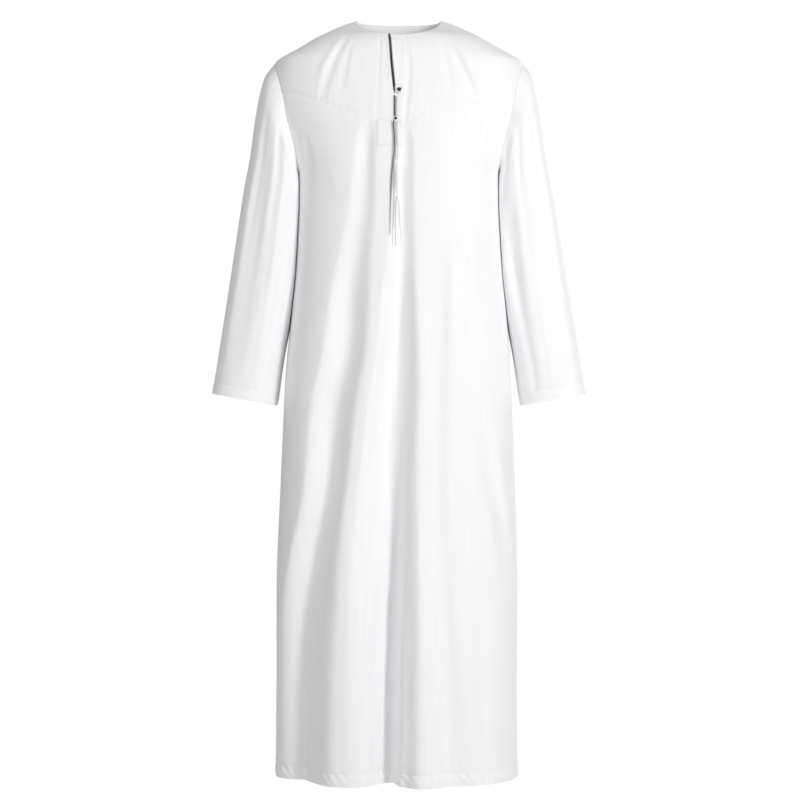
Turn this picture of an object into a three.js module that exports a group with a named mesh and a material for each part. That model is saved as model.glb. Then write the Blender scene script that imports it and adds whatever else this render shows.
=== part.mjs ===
// A long white Omani-style robe (thobe), worn shape, held up by its wearer's shoulders. Millimetres.
// +Z is up, the front faces -Y and +X is the wearer's left. Heights are written as "drop": how far
// a point lies below the neck points, the two spots where the neckline meets the shoulder line.
// Every panel is a wall of cloth laid on one surface, ringPoint, so that neighbours share one form.
import * as THREE from "three";

// ---------------------------------------------------------------- driving sizes
const WALL = 1.2; // one layer of shirting with its body
const DOUBLE_WALL = 2.4; // cloth turned up double
const SEAM_GAP = 0.3; // clearance between sewn pieces
const ORIGIN_DROP = 12; // the shoulders carry the robe this far below the neck points
const ROBE_LENGTH = 1392;
const HEM_BAND = 23;
const NECK_HALF_WIDTH = 77;
const NECK_FRONT_DROP = 38;
const NECK_BACK_DROP = 2;
const NECK_BINDING = 6;
const SHOULDER_ROWS = 10; // rows of the BODY table that make the slope of the shoulders
const SQUARENESS = 2.4; // 2 would make the body's rings plain ellipses
const ARMHOLE_TOP = 80;
const ARMPIT = 290;
const ARMHOLE_STEPS = 28; // points round the armhole, shared by yoke, gores and sleeve
const YOKE_STEPS = 5; // of those, the ones between shoulder point and yoke seam
const GORE_COLUMNS = 3;
const SKIRT_ROWS = 13; // rows that panels and gores share below it
const SKIRT_END = ROBE_LENGTH - HEM_BAND;
const BACK_YOKE_MIDDLE_DROP = 158;
const MEETING_STEPS = 2.5; // how far down its steps the sleeve still bends to the armhole
const SLEEVE_START = 0.04; // the sleeve starts this part of a step clear of the armhole line

// ---------------------------------------------------------------- materials
const cloth = (color, roughness = 0.62) =>
  new THREE.MeshStandardMaterial({ color, roughness, metalness: 0 });
const SHIRTING = 0xf4f4f3;
const TURNED_CLOTH = 0xfafafa;
const WHITE_CORD = 0xefeff0;
const GREY_CORD = 0xc9c9cc;
const DARK_CORD = 0x1f1f22;

// ---------------------------------------------------------------- tables of form
// The body ring at each drop: half width at the side, reach of the front and the back from the
// shoulder line, and how far the ring's middle leans sideways. The first SHOULDER_ROWS are the
// slope of the shoulders; from the armpit down the ring is the closed skirt.
const BODY = [
  { drop: 0, halfWidth: 77, front: 5, back: 66, lean: 0 },
  { drop: 4, halfWidth: 90, front: 15, back: 73, lean: 0 },
  { drop: 13, halfWidth: 113, front: 34, back: 82, lean: 0 },
  { drop: 24, halfWidth: 135, front: 56, back: 90, lean: 0 },
  { drop: 36, halfWidth: 157, front: 81, back: 98, lean: 0 },
  { drop: 47, halfWidth: 175, front: 91, back: 104, lean: 0 },
  { drop: 58, halfWidth: 194, front: 97, back: 109, lean: 0 },
  { drop: 69, halfWidth: 214, front: 101, back: 113, lean: 0 },
  { drop: 80, halfWidth: 229, front: 104, back: 117, lean: 0 },
  { drop: 115, halfWidth: 238, front: 111, back: 126, lean: 0 },
  { drop: 145, halfWidth: 238, front: 116, back: 131, lean: 0 },
  { drop: 185, halfWidth: 227, front: 121, back: 135, lean: 0 },
  { drop: 225, halfWidth: 212, front: 124, back: 136, lean: 0 },
  { drop: 255, halfWidth: 203, front: 126, back: 136, lean: 0 },
  { drop: 290, halfWidth: 189, front: 128, back: 134, lean: 0 },
  { drop: 345, halfWidth: 188.5, front: 130, back: 131, lean: 0 },
  { drop: 406, halfWidth: 190.5, front: 131, back: 129, lean: 0 },
  { drop: 472, halfWidth: 193, front: 131, back: 128, lean: 0 },
  { drop: 535, halfWidth: 198, front: 131, back: 128, lean: 0 },
  { drop: 650, halfWidth: 207, front: 132, back: 131, lean: -1.5 },
  { drop: 850, halfWidth: 215.5, front: 136, back: 138, lean: -2.5 },
  { drop: 1050, halfWidth: 222, front: 144, back: 147, lean: -4 },
  { drop: 1392, halfWidth: 222.5, front: 155, back: 160, lean: -4.5 },
];

// Half width of the body at the armhole seam, in front view.
const ARMHOLE = [
  { drop: 80, x: 229 },
  { drop: 139.4, x: 213 },
  { drop: 188, x: 204 },
  { drop: 237, x: 191 },
  { drop: 262, x: 186.5 },
  { drop: 275, x: 185.5 },
  { drop: 285, x: 187 },
  { drop: 290, x: 189 },
];

// The V-shaped front yoke seam, from the wearer's right armhole to the left one.
const YOKE_SEAM_DROP = [
  { x: -213, drop: 139.4 },
  { x: -181, drop: 148 },
  { x: -138, drop: 164 },
  { x: -97, drop: 180 },
  { x: -74, drop: 188 },
  { x: -41, drop: 196.5 },
  { x: 8, drop: 204 },
  { x: 41, drop: 184 },
  { x: 64, drop: 176.5 },
  { x: 92, drop: 171 },
  { x: 136, drop: 161 },
  { x: 176, drop: 153 },
  { x: 213, drop: 139.4 },
];
const GORE_CORNER = { right: -138, left: 136, back: 140 }; // where gore seams meet the yoke seams
const PLACKET_EDGE = { topRight: -33, right: -41, topLeft: 14, left: 8 };

// The gore seams, as the share of the half width at which they run: first the stretch from the yoke
// seams to the armpit, straight between these rows, then the skirt.
const TONGUE_SEAM = [
  { down: 0, right: 0.59, left: 0.58, back: 0.59 },
  { down: 1 / 3, right: 0.735, left: 0.66, back: 0.7 },
  { down: 2 / 3, right: 0.83, left: 0.735, back: 0.79 },
  { down: 8 / 9, right: 0.895, left: 0.795, back: 0.84 },
  { down: 1, right: 0.925, left: 0.825, back: 0.86 },
];
const SKIRT_SEAM = [
  { drop: 290, right: 0.925, left: 0.825, back: 0.86 },
  { drop: 373, right: 0.972, left: 0.915, back: 0.91 },
  { drop: 456, right: 0.975, left: 0.965, back: 0.94 },
  { drop: 1392, right: 0.975, left: 0.975, back: 0.95 },
];

// The two edges of the neck slit; where they meet it is sewn shut.
const SLIT = [
  { drop: 30, right: -20.2, left: -15.2 },
  { drop: 90, right: -15.8, left: -11.2 },
  { drop: 140, right: -10.6, left: -6 },
  { drop: 152, right: -7.8, left: -7.8 },
  { drop: 260, right: -7.8, left: -7.8 },
];
const PLACKET_END_DROP = 245;
const PLACKET_END_LIFT = 1.7; // air under the stitched end

// Soft folds that hang in the cloth. A row gives where the fold's line lies, how deep the cloth
// sinks there (a negative depth is a crest) and how far it spreads to either side.
const FRONT_FOLDS = [
  [ // from the right end of the V seam, outward to the hem
    { drop: 196, x: -54, depth: 0, toRight: 18, toLeft: 14 },
    { drop: 250, x: -58, depth: 7, toRight: 24, toLeft: 17 },
    { drop: 344, x: -64, depth: 8, toRight: 28, toLeft: 24 },
    { drop: 433, x: -77, depth: 10, toRight: 32, toLeft: 32 },
    { drop: 522, x: -92, depth: 17, toRight: 36, toLeft: 44 },
    { drop: 612, x: -99, depth: 20, toRight: 40, toLeft: 46 },
    { drop: 701, x: -119, depth: 22, toRight: 40, toLeft: 50 },
    { drop: 880, x: -138, depth: 25, toRight: 36, toLeft: 48 },
    { drop: 970, x: -157, depth: 28, toRight: 34, toLeft: 60 },
    { drop: 1149, x: -183, depth: 33, toRight: 30, toLeft: 76 },
    { drop: 1392, x: -192, depth: 35, toRight: 26, toLeft: 80 },
  ],
  [ // from the left end of the V seam, a broad wall that faces the wearer's right
    { drop: 200, x: 10, depth: 0, toRight: 16, toLeft: 12 },
    { drop: 250, x: 11, depth: 8, toRight: 20, toLeft: 18 },
    { drop: 344, x: 7, depth: 10, toRight: 24, toLeft: 22 },
    { drop: 433, x: 5.6, depth: 12, toRight: 28, toLeft: 26 },
    { drop: 522, x: 1.2, depth: 23, toRight: 34, toLeft: 32 },
    { drop: 612, x: -2.5, depth: 27, toRight: 38, toLeft: 40 },
    { drop: 701, x: -12, depth: 29, toRight: 42, toLeft: 52 },
    { drop: 791, x: -18, depth: 30, toRight: 44, toLeft: 54 },
    { drop: 880, x: -22, depth: 26, toRight: 44, toLeft: 58 },
    { drop: 970, x: -22, depth: 20, toRight: 42, toLeft: 62 },
    { drop: 1149, x: -20, depth: 14, toRight: 40, toLeft: 64 },
    { drop: 1392, x: -18, depth: 10, toRight: 40, toLeft: 62 },
  ],
  [ // the same fold's steep step, from the knee to the hem
    { drop: 760, x: 6, depth: 0, toRight: 30, toLeft: 16 },
    { drop: 880, x: 4, depth: 12, toRight: 40, toLeft: 15 },
    { drop: 970, x: 3, depth: 24, toRight: 48, toLeft: 15 },
    { drop: 1149, x: -4, depth: 35, toRight: 54, toLeft: 16 },
    { drop: 1392, x: -9, depth: 40, toRight: 56, toLeft: 17 },
  ],
  [ // the crest beside it
    { drop: 500, x: 50, depth: 0, toRight: 26, toLeft: 60 },
    { drop: 860, x: 44, depth: -7, toRight: 26, toLeft: 60 },
    { drop: 1392, x: 40, depth: -11, toRight: 26, toLeft: 60 },
  ],
  [ // a faint fold over the wearer's left leg
    { drop: 380, x: 72, depth: 0, toRight: 34, toLeft: 26 },
    { drop: 560, x: 70, depth: 4, toRight: 40, toLeft: 24 },
    { drop: 850, x: 70, depth: 6, toRight: 42, toLeft: 24 },
    { drop: 1200, x: 88, depth: 8, toRight: 42, toLeft: 34 },
    { drop: 1392, x: 106, depth: 10, toRight: 45, toLeft: 38 },
  ],
  [ // a short slanting fold at the wearer's left hip
    { drop: 690, x: 150, depth: 0, toRight: 26, toLeft: 18 },
    { drop: 775, x: 163, depth: 6, toRight: 30, toLeft: 18 },
    { drop: 850, x: 176, depth: 7, toRight: 30, toLeft: 17 },
    { drop: 950, x: 196, depth: 5, toRight: 24, toLeft: 15 },
    { drop: 1060, x: 208, depth: 0, toRight: 24, toLeft: 14 },
  ],
];
const BACK_FOLDS = [
  [
    { drop: 170, x: -62, depth: 0, toRight: 40, toLeft: 34 },
    { drop: 560, x: -70, depth: 8, toRight: 46, toLeft: 36 },
    { drop: 1392, x: -98, depth: 30, toRight: 52, toLeft: 40 },
  ],
  [
    { drop: 240, x: 22, depth: 0, toRight: 34, toLeft: 40 },
    { drop: 700, x: 26, depth: 12, toRight: 36, toLeft: 44 },
    { drop: 1392, x: 14, depth: 34, toRight: 38, toLeft: 54 },
  ],
  [
    { drop: 420, x: 104, depth: 0, toRight: 34, toLeft: 40 },
    { drop: 900, x: 118, depth: 11, toRight: 36, toLeft: 42 },
    { drop: 1392, x: 132, depth: 20, toRight: 38, toLeft: 44 },
  ],
];

// The sleeve from armhole to cuff, in front view: its outer edge, how low its inner edge lies, how far
// the body's side presses into it there (or, below 0, stands clear of it), and half its depth.
const SLEEVE = [
  { step: 0, outX: 229, outDrop: 80, inDrop: 290, press: 0, halfDepth: 69 },
  { step: 1, outX: 247, outDrop: 105, inDrop: 298, press: 6, halfDepth: 73 },
  { step: 2, outX: 257, outDrop: 140, inDrop: 309, press: 12, halfDepth: 76 },
  { step: 3, outX: 266, outDrop: 190, inDrop: 325, press: 14, halfDepth: 77 },
  { step: 4, outX: 274, outDrop: 250, inDrop: 351, press: 14, halfDepth: 76 },
  { step: 5, outX: 287, outDrop: 320, inDrop: 394, press: 14, halfDepth: 73 },
  { step: 6, outX: 300, outDrop: 405, inDrop: 457, press: 12, halfDepth: 69 },
  { step: 7, outX: 313, outDrop: 490, inDrop: 525, press: 6, halfDepth: 65 },
  { step: 8, outX: 327, outDrop: 580, inDrop: 603, press: -4, halfDepth: 61 },
  { step: 9, outX: 341, outDrop: 669, inDrop: 691, press: -12, halfDepth: 57 },
];
const SLEEVE_GAP = 2.2; // between the sleeve and the side that it lies against
const SLEEVE_FLATNESS = 0.72; // 1 would make the sleeve's section a plain ellipse
const CUFF_END = { outX: 345, outDrop: 689, inX: 225, inDrop: 711, halfDepth: 58 };
// Long soft troughs down the sleeve: the angle round it (0 outside, 90 front, 180 inside).
const SLEEVE_FOLDS = [
  { angle: 66, depth: 7, spread: 26, from: 2, to: 9 },
  { angle: 122, depth: 6, spread: 22, from: 4, to: 8 },
  { angle: 250, depth: 7, spread: 28, from: 2, to: 9 },
  { angle: 300, depth: 5, spread: 22, from: 3, to: 8 },
];

// ---------------------------------------------------------------- routes of the cords
const CORD_SIDES = 8;
const CORD_STEP = 2.5; // diameters between two sections
const CORDS = [
  { name: "slit_cord", diameter: 3, color: DARK_CORD, points: [
    [-17.4, -82.8, -25], [-16.3, -92.8, -38], [-14.9, -101.2, -58], [-13.5, -106.2, -78],
    [-10.5, -112, -108], [-8.5, -114.8, -125] ] },
  { name: "slit_piping", diameter: 2, color: WHITE_CORD, points: [
    [-13.1, -92.2, -33.5], [-12.7, -95, -38], [-11.3, -103, -58], [-9.7, -108, -78],
    [-6.8, -113.8, -108], [-4.4, -117.5, -130] ] },
  { name: "button_loop", diameter: 1.8, color: WHITE_CORD, points: [
    [-5.4, -120.4, -127.5], [-4.6, -119.6, -132], [-1.2, -118.6, -137], [1.6, -118.8, -138.6],
    [4.6, -118.6, -136.6], [7.4, -118, -132.4], [8.6, -117.4, -128.5] ] },
  { name: "tassel_cord_dark", diameter: 2.2, color: DARK_CORD, points: [
    [-8, -119.4, -141.5], [-7.6, -120.6, -150], [-7.9, -122.2, -166], [-7.5, -123.9, -179.6] ] },
  { name: "tassel_cord_white", diameter: 2.2, color: GREY_CORD, points: [
    [-3, -119.9, -143], [-3.4, -120.8, -150], [-3.6, -122.3, -166], [-3.8, -123.9, -179.6] ] },
  { name: "tassel_strand_dark", diameter: 2.2, color: DARK_CORD, points: [
    [-9.2, -127, -187.6], [-10.2, -127.2, -194], [-8.8, -128.2, -209], [-8, -129.6, -234],
    [-10.7, -130.2, -265], [-12.9, -131, -287], [-14.3, -132.4, -333], [-15.4, -133.2, -374],
    [-15.9, -133.5, -394] ] },
  { name: "tassel_strand_white", diameter: 2.4, color: GREY_CORD, points: [
    [-4, -127.2, -187.6], [-3.4, -127.6, -196], [-2.6, -128.8, -216], [-2, -129.9, -236],
    [-3, -131.6, -259.6] ] },
  { name: "tassel_fringe_long", diameter: 2, color: GREY_CORD, points: [
    [-4.6, -133, -324.6], [-5.2, -132.8, -340], [-5.9, -133, -374], [-6.3, -133.2, -402],
    [-5, -133.4, -415.5] ] },
  { name: "tassel_fringe_middle", diameter: 2, color: WHITE_CORD, points: [
    [-1.8, -133, -324.6], [0.6, -132.8, -340], [2, -133, -372], [3.5, -132.8, -392],
    [1.8, -132.8, -405.5] ] },
  { name: "tassel_fringe_short", diameter: 1.8, color: WHITE_CORD, points: [
    [-2.9, -135.4, -324.4], [-0.8, -135.4, -340], [-1.2, -135.6, -356], [0.4, -135.6, -377] ] },
];
const KNOBS = [
  { name: "knot_button", color: DARK_CORD, middle: [1.6, -119.9, -131], size: [8.4, 6.4, 8] },
  { name: "tassel_knot", color: DARK_CORD, middle: [-5.6, -125.4, -183.6], size: [8, 5.2, 7.2] },
  { name: "tassel_head", color: GREY_CORD, middle: [-3.2, -134, -292], size: [7.4, 6.6, 63.6] },
];

// ---------------------------------------------------------------- reading the tables
// A named column of a table at a place along its key, on a smooth curve that never overshoots.
function read(table, name, key, at) {
  const last = table.length - 1;
  if (at <= table[0][key]) return table[0][name];
  if (at >= table[last][key]) return table[last][name];
  const i = table.findIndex((row) => row[key] > at) - 1;
  const rise = (j) =>
    (table[j + 1][name] - table[j][name]) / (table[j + 1][key] - table[j][key]);
  const slope = (j) => {
    if (j === 0) return rise(0);
    if (j === last) return rise(last - 1);
    const [before, after] = [rise(j - 1), rise(j)];
    return before * after > 0 ? (2 * before * after) / (before + after) : 0;
  };
  const span = table[i + 1][key] - table[i][key];
  const t = (at - table[i][key]) / span;
  const [a, b] = [table[i][name], table[i + 1][name]];
  const [sa, sb] = [slope(i) * span, slope(i + 1) * span];
  return (
    a * (1 + 2 * t) * (1 - t) ** 2 + b * t * t * (3 - 2 * t) +
    sa * t * (1 - t) ** 2 - sb * t * t * (1 - t)
  );
}

// The same, but on straight lines between the rows.
function readStraight(table, name, key, at) {
  const i = Math.max(0, table.findLastIndex((row) => row[key] <= at));
  const [a, b] = [table[i], table[Math.min(i + 1, table.length - 1)]];
  if (a === b) return a[name];
  return THREE.MathUtils.mapLinear(at, a[key], b[key], a[name], b[name]);
}

const bump = (t) => (Math.abs(t) < 1 ? (1 - t * t) ** 2 : 0);

function foldDepth(folds, x, drop) {
  let depth = 0;
  for (const rows of folds) {
    if (drop <= rows[0].drop) continue;
    const off = x - read(rows, "x", "drop", drop);
    const spread = read(rows, off < 0 ? "toRight" : "toLeft", "drop", drop);
    depth += read(rows, "depth", "drop", drop) * bump(off / spread);
  }
  return depth;
}

// ---------------------------------------------------------------- the body's surface
// around: 0 is the middle of the front, 1 the wearer's left side, 2 the middle of the back and 3,
// which is also -1, the right side.
function ringPoint(around, drop) {
  const wrapped = THREE.MathUtils.euclideanModulo(around + 2, 4) - 2;
  const isFront = Math.abs(wrapped) <= 1;
  const halfWidth = read(BODY, "halfWidth", "drop", drop);
  const reach = read(BODY, isFront ? "front" : "back", "drop", drop);
  const share = Math.sin((wrapped * Math.PI) / 2);
  const depthShare = Math.max(0, 1 - Math.abs(share) ** SQUARENESS) ** (1 / SQUARENESS);
  const x = halfWidth * share;
  const y = (isFront ? -1 : 1) * reach * depthShare;
  const out = new THREE.Vector3(
    (Math.sign(x) * Math.abs(share) ** (SQUARENESS - 1)) / halfWidth,
    (Math.sign(y) * depthShare ** (SQUARENESS - 1)) / reach,
    0,
  ).normalize();
  const sink = foldDepth(isFront ? FRONT_FOLDS : BACK_FOLDS, x, drop);
  const lean = read(BODY, "lean", "drop", drop);
  return new THREE.Vector3(x + lean, y, ORIGIN_DROP - drop).addScaledVector(out, -sink);
}

// A place on the body: the point, and the way out of the cloth there.
function onBody({ around, drop }) {
  const [turn, rise] = [0.004, 1];
  const across = ringPoint(around + turn, drop).sub(ringPoint(around - turn, drop));
  const down = ringPoint(around, drop + rise).sub(ringPoint(around, Math.max(0, drop - rise)));
  return { point: ringPoint(around, drop), out: across.cross(down).negate().normalize() };
}

// Where a half width x lies round the ring, on the front or on the back.
function placeAt(x, drop, isBack = false) {
  const share = THREE.MathUtils.clamp(x / read(BODY, "halfWidth", "drop", drop), -1, 1);
  const around = (Math.asin(share) * 2) / Math.PI;
  return { around: isBack ? 2 - around : around, drop };
}

const between = (a, b, t) => ({
  around: THREE.MathUtils.lerp(a.around, b.around, t),
  drop: THREE.MathUtils.lerp(a.drop, b.drop, t),
});

// A grid of body places: rows of columns from a function of two shares, 0 to 1.
function bodyPatch(columns, rows, place) {
  return Array.from({ length: rows + 1 }, (_, j) =>
    Array.from({ length: columns + 1 }, (_, i) => onBody(place(i / columns, j / rows))),
  );
}

// ---------------------------------------------------------------- cloth as a closed solid
// Welds patches of {point, out} into one sheet, gives it a wall on its inner side, and draws its
// rim back by half a seam gap so that neighbours stay clear of each other.
function clothGeometry(patches, wall) {
  const sheet = [];
  const found = new Map();
  const index = (place) => {
    const name = place.point.toArray().map((n) => n.toFixed(2)).join();
    if (!found.has(name)) {
      found.set(name, sheet.length);
      sheet.push(place);
    }
    return found.get(name);
  };
  const faces = [];
  for (const patch of patches) {
    for (let j = 0; j + 1 < patch.length; j++) {
      for (let i = 0; i + 1 < patch[j].length; i++) {
        const corners = [patch[j][i], patch[j + 1][i], patch[j + 1][i + 1], patch[j][i + 1]];
        const [a, b, c, d] = corners.map(index);
        if (new Set([a, b, c]).size === 3) faces.push([a, b, c]);
        if (new Set([a, c, d]).size === 3) faces.push([a, c, d]);
      }
    }
  }
  const edges = new Map();
  for (const face of faces) {
    face.forEach((a, k) => edges.set(`${a},${face[(k + 1) % 3]}`, [a, face[(k + 1) % 3]]));
  }
  const rim = [...edges.values()].filter(([a, b]) => !edges.has(`${b},${a}`));
  const outer = drawRimBack(sheet, faces, rim);
  const inner = outer.map((point, k) => point.clone().addScaledVector(sheet[k].out, -wall));
  const count = sheet.length;
  const triangles = [];
  for (const [a, b, c] of faces) triangles.push([a, b, c], [a + count, c + count, b + count]);
  for (const [a, b] of rim) triangles.push([b, a, a + count], [b, a + count, b + count]);
  return closedGeometry([...outer, ...inner], triangles);
}

// Moves each rim point into the sheet, square to the rim.
function drawRimBack(sheet, faces, rim) {
  const along = new Map();
  for (const [a, b] of rim) {
    const run = sheet[b].point.clone().sub(sheet[a].point).normalize();
    for (const end of [a, b]) along.set(end, run.clone().add(along.get(end) ?? new THREE.Vector3()));
  }
  const middle = sheet.map(() => new THREE.Vector3());
  const share = sheet.map(() => 0);
  for (const face of faces) {
    for (const corner of face) {
      face.forEach((k) => middle[corner].add(sheet[k].point));
      share[corner] += 3;
    }
  }
  return sheet.map(({ point }, k) => {
    if (!along.has(k)) return point.clone();
    const run = along.get(k).normalize();
    const inward = middle[k].divideScalar(share[k]).sub(point);
    inward.addScaledVector(run, -inward.dot(run)).normalize();
    return point.clone().addScaledVector(inward, SEAM_GAP / 2);
  });
}

function closedGeometry(points, triangles) {
  let volume = 0;
  for (const [a, b, c] of triangles) {
    volume += points[a].dot(points[b].clone().cross(points[c]));
  }
  const geometry = new THREE.BufferGeometry();
  const facing = volume < 0 ? triangles.map(([a, b, c]) => [a, c, b]) : triangles;
  const flat = points.flatMap((point) => point.toArray());
  geometry.setAttribute("position", new THREE.Float32BufferAttribute(flat, 3));
  geometry.setIndex(facing.flat());
  return geometry;
}

const robe = new THREE.Group();

function addMesh(name, geometry, material) {
  const mesh = new THREE.Mesh(geometry, material);
  mesh.name = name;
  robe.add(mesh);
  return mesh;
}

const addCloth = (name, patches, wall = WALL, color = SHIRTING) =>
  addMesh(name, clothGeometry(patches, wall), cloth(color));

// ---------------------------------------------------------------- shared seam lines
const SIDES = [
  { name: "right", sign: -1 },
  { name: "left", sign: 1 },
];

const armholeDrop = (step) => {
  const middle = (ARMHOLE_TOP + ARMPIT) / 2;
  return middle - (ARMPIT - middle) * Math.cos((step * 2 * Math.PI) / ARMHOLE_STEPS);
};

// Armhole place at a step: 0 is the shoulder point, then down the front and up the back.
function armholePlace(step, sign) {
  const drop = armholeDrop(step);
  const isBack = step > ARMHOLE_STEPS / 2;
  return placeAt(sign * read(ARMHOLE, "x", "drop", drop), drop, isBack);
}
const YOKE_ARM_DROP = armholeDrop(YOKE_STEPS);
const YOKE_ARM_X = read(ARMHOLE, "x", "drop", YOKE_ARM_DROP);

// The neckline, moved outward by a border. Turn 0 is the middle of the front, 180 of the back, and
// at 90 and 270 it crosses the shoulder lines.
function necklinePlace(turn, border) {
  const angle = THREE.MathUtils.degToRad(turn);
  const isBack = Math.cos(angle) < 0;
  const halfWidth = NECK_HALF_WIDTH + 0.9 * border;
  const ridgeDrop = read(BODY.slice(0, SHOULDER_ROWS), "drop", "halfWidth", halfWidth);
  const middleDrop = (isBack ? NECK_BACK_DROP : NECK_FRONT_DROP) + 0.85 * border;
  const drop = THREE.MathUtils.lerp(ridgeDrop, middleDrop, Math.abs(Math.cos(angle)));
  return placeAt(halfWidth * Math.sin(angle), drop, isBack);
}

// The turn at which the bound neckline passes a given x on the front.
const turnAt = (x) =>
  THREE.MathUtils.radToDeg(Math.asin(x / (NECK_HALF_WIDTH + 0.9 * NECK_BINDING)));
const SLIT_TURN = { right: turnAt(SLIT[0].right), left: turnAt(SLIT[0].left) };
const PLACKET_TURN = { right: turnAt(PLACKET_EDGE.topRight), left: turnAt(PLACKET_EDGE.topLeft) };
const FRONT_NECK_TURNS = [30, 40, 50, 60, 70, 80, 90];
const BACK_NECK_TURNS = [90, 105, 120, 135, 150, 165, 180, 195, 210, 225, 240, 255, 270];
const RIDGE_STEPS = 6;

// The two yoke seams. The front one is a V whose tip lies under the placket.
const frontSeamDrop = (x) => readStraight(YOKE_SEAM_DROP, "drop", "x", x);
const backSeamDrop = (x) =>
  THREE.MathUtils.lerp(BACK_YOKE_MIDDLE_DROP, YOKE_ARM_DROP, (x / YOKE_ARM_X) ** 2);

function seamRun(fromX, toX, steps, isBack = false) {
  const seamDrop = isBack ? backSeamDrop : frontSeamDrop;
  return Array.from({ length: steps + 1 }, (_, i) => {
    const x = THREE.MathUtils.lerp(fromX, toX, i / steps);
    return placeAt(x, seamDrop(x), isBack);
  });
}

// Each run goes outward from the placket, or from the middle of the back.
const PANEL_RUN = {
  right: seamRun(PLACKET_EDGE.right, GORE_CORNER.right, 10),
  left: seamRun(PLACKET_EDGE.left, GORE_CORNER.left, 10),
};
const GORE_RUN = {
  right: seamRun(GORE_CORNER.right, -YOKE_ARM_X, GORE_COLUMNS),
  left: seamRun(GORE_CORNER.left, YOKE_ARM_X, GORE_COLUMNS),
};
const BACK_GORE_RUN = {
  right: seamRun(-GORE_CORNER.back, -YOKE_ARM_X, GORE_COLUMNS, true),
  left: seamRun(GORE_CORNER.back, YOKE_ARM_X, GORE_COLUMNS, true),
};

// The gore seam's place round the ring, from a share of the half width.
const seamAround = (share, sign, isBack) => {
  const around = (sign * Math.asin(share) * 2) / Math.PI;
  return isBack ? 2 - around : around;
};

// The gore seam between a yoke seam and the armpit: down is 0 at the yoke, 1 at the armpit.
function tongueSeamPlace(side, isBack, down) {
  const column = isBack ? "back" : side.name;
  const knots = TONGUE_SEAM.map((row) => ({
    down: row.down,
    around: seamAround(row[column], side.sign, isBack),
  }));
  const corner = (isBack ? BACK_GORE_RUN : GORE_RUN)[side.name][0];
  knots[0].around = corner.around;
  return {
    around: readStraight(knots, "around", "down", down),
    drop: THREE.MathUtils.lerp(corner.drop, ARMPIT, down),
  };
}

function skirtSeamPlace(side, isBack, drop) {
  const share = read(SKIRT_SEAM, isBack ? "back" : side.name, "drop", drop);
  return { around: seamAround(share, side.sign, isBack), drop };
}

const skirtDrop = (down) => THREE.MathUtils.lerp(ARMPIT, SKIRT_END, down);

// The share of the way down the yoke at each armhole step, so that its rows end on the armhole.
const yokeShare = (down) =>
  (armholeDrop(down * YOKE_STEPS) - ARMHOLE_TOP) / (YOKE_ARM_DROP - ARMHOLE_TOP);

// A place between an upper and a lower one, straight in front view.
function hang(upper, lower, t, isBack = false) {
  const sideways = ({ around, drop }) =>
    Math.sin((around * Math.PI) / 2) * read(BODY, "halfWidth", "drop", drop);
  const x = THREE.MathUtils.lerp(sideways(upper), sideways(lower), t);
  return placeAt(x, THREE.MathUtils.lerp(upper.drop, lower.drop, t), isBack);
}

// ---------------------------------------------------------------- yokes
// Places along the shoulder line, from the neck out to the shoulder point.
function ridgeRun(around, steps) {
  const start = necklinePlace(90, NECK_BINDING).drop;
  return Array.from({ length: steps + 1 }, (_, i) => ({
    around,
    drop: THREE.MathUtils.lerp(start, ARMHOLE_TOP, i / steps),
  }));
}

// Cloth that hangs from one row of places to another, with its rows ending on the armhole.
function yokePatch(top, bottom, isBack) {
  return bodyPatch(top.length - 1, YOKE_STEPS, (across, down) => {
    const i = Math.round(across * (top.length - 1));
    return hang(top[i], bottom[i], yokeShare(down), isBack);
  });
}

function addFrontYoke({ name, sign }) {
  const turns = [PLACKET_TURN[name], ...FRONT_NECK_TURNS.map((turn) => sign * turn)];
  const neck = turns.map((turn) => necklinePlace(turn, NECK_BINDING));
  const top = [...neck, ...ridgeRun(sign, RIDGE_STEPS).slice(1)];
  const bottom = [...PANEL_RUN[name], ...GORE_RUN[name].slice(1)];
  addCloth(`front_yoke_${name}`, [yokePatch(top, bottom, false)]);
}
SIDES.forEach(addFrontYoke);

// The back yoke runs from armhole to armhole below the neckline and the shoulder lines.
function addBackYoke() {
  const ridgeSteps = 4;
  const neck = BACK_NECK_TURNS.map((turn) => necklinePlace(turn, NECK_BINDING));
  const leftRidge = ridgeRun(1, ridgeSteps).reverse();
  const top = [...leftRidge.slice(0, -1), ...neck, ...ridgeRun(3, ridgeSteps).slice(1)];
  const bottom = seamRun(YOKE_ARM_X, -YOKE_ARM_X, top.length - 1, true);
  addCloth("back_yoke", [yokePatch(top, bottom, true)]);
}
addBackYoke();

// ---------------------------------------------------------------- front panel, back panel, placket
// A panel from a yoke seam to the hem band: each column keeps its share of the way between the
// panel's two gore seams.
function panelPatch(top, isBack) {
  const [rightSide, leftSide] = SIDES;
  const share = ({ around }, i) => {
    if (i === 0) return 0;
    if (i === top.length - 1) return 1;
    return THREE.MathUtils.inverseLerp(top[0].around, top.at(-1).around, around);
  };
  const shares = top.map(share);
  const rows = [top];
  const addRow = (drops, from, to) =>
    rows.push(
      shares.map((t, i) => ({ around: THREE.MathUtils.lerp(from, to, t), drop: drops[i] })),
    );
  for (const { down } of TONGUE_SEAM.slice(1)) {
    const right = tongueSeamPlace(rightSide, isBack, down);
    const left = tongueSeamPlace(leftSide, isBack, down);
    const drops = top.map(({ drop }) => THREE.MathUtils.lerp(drop, ARMPIT, down));
    addRow(drops, right.around, left.around);
  }
  for (let k = 1; k <= SKIRT_ROWS; k++) {
    const drop = skirtDrop(k / SKIRT_ROWS);
    const right = skirtSeamPlace(rightSide, isBack, drop);
    const left = skirtSeamPlace(leftSide, isBack, drop);
    addRow(top.map(() => drop), right.around, left.around);
  }
  return rows.map((row) => row.map(onBody));
}

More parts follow.
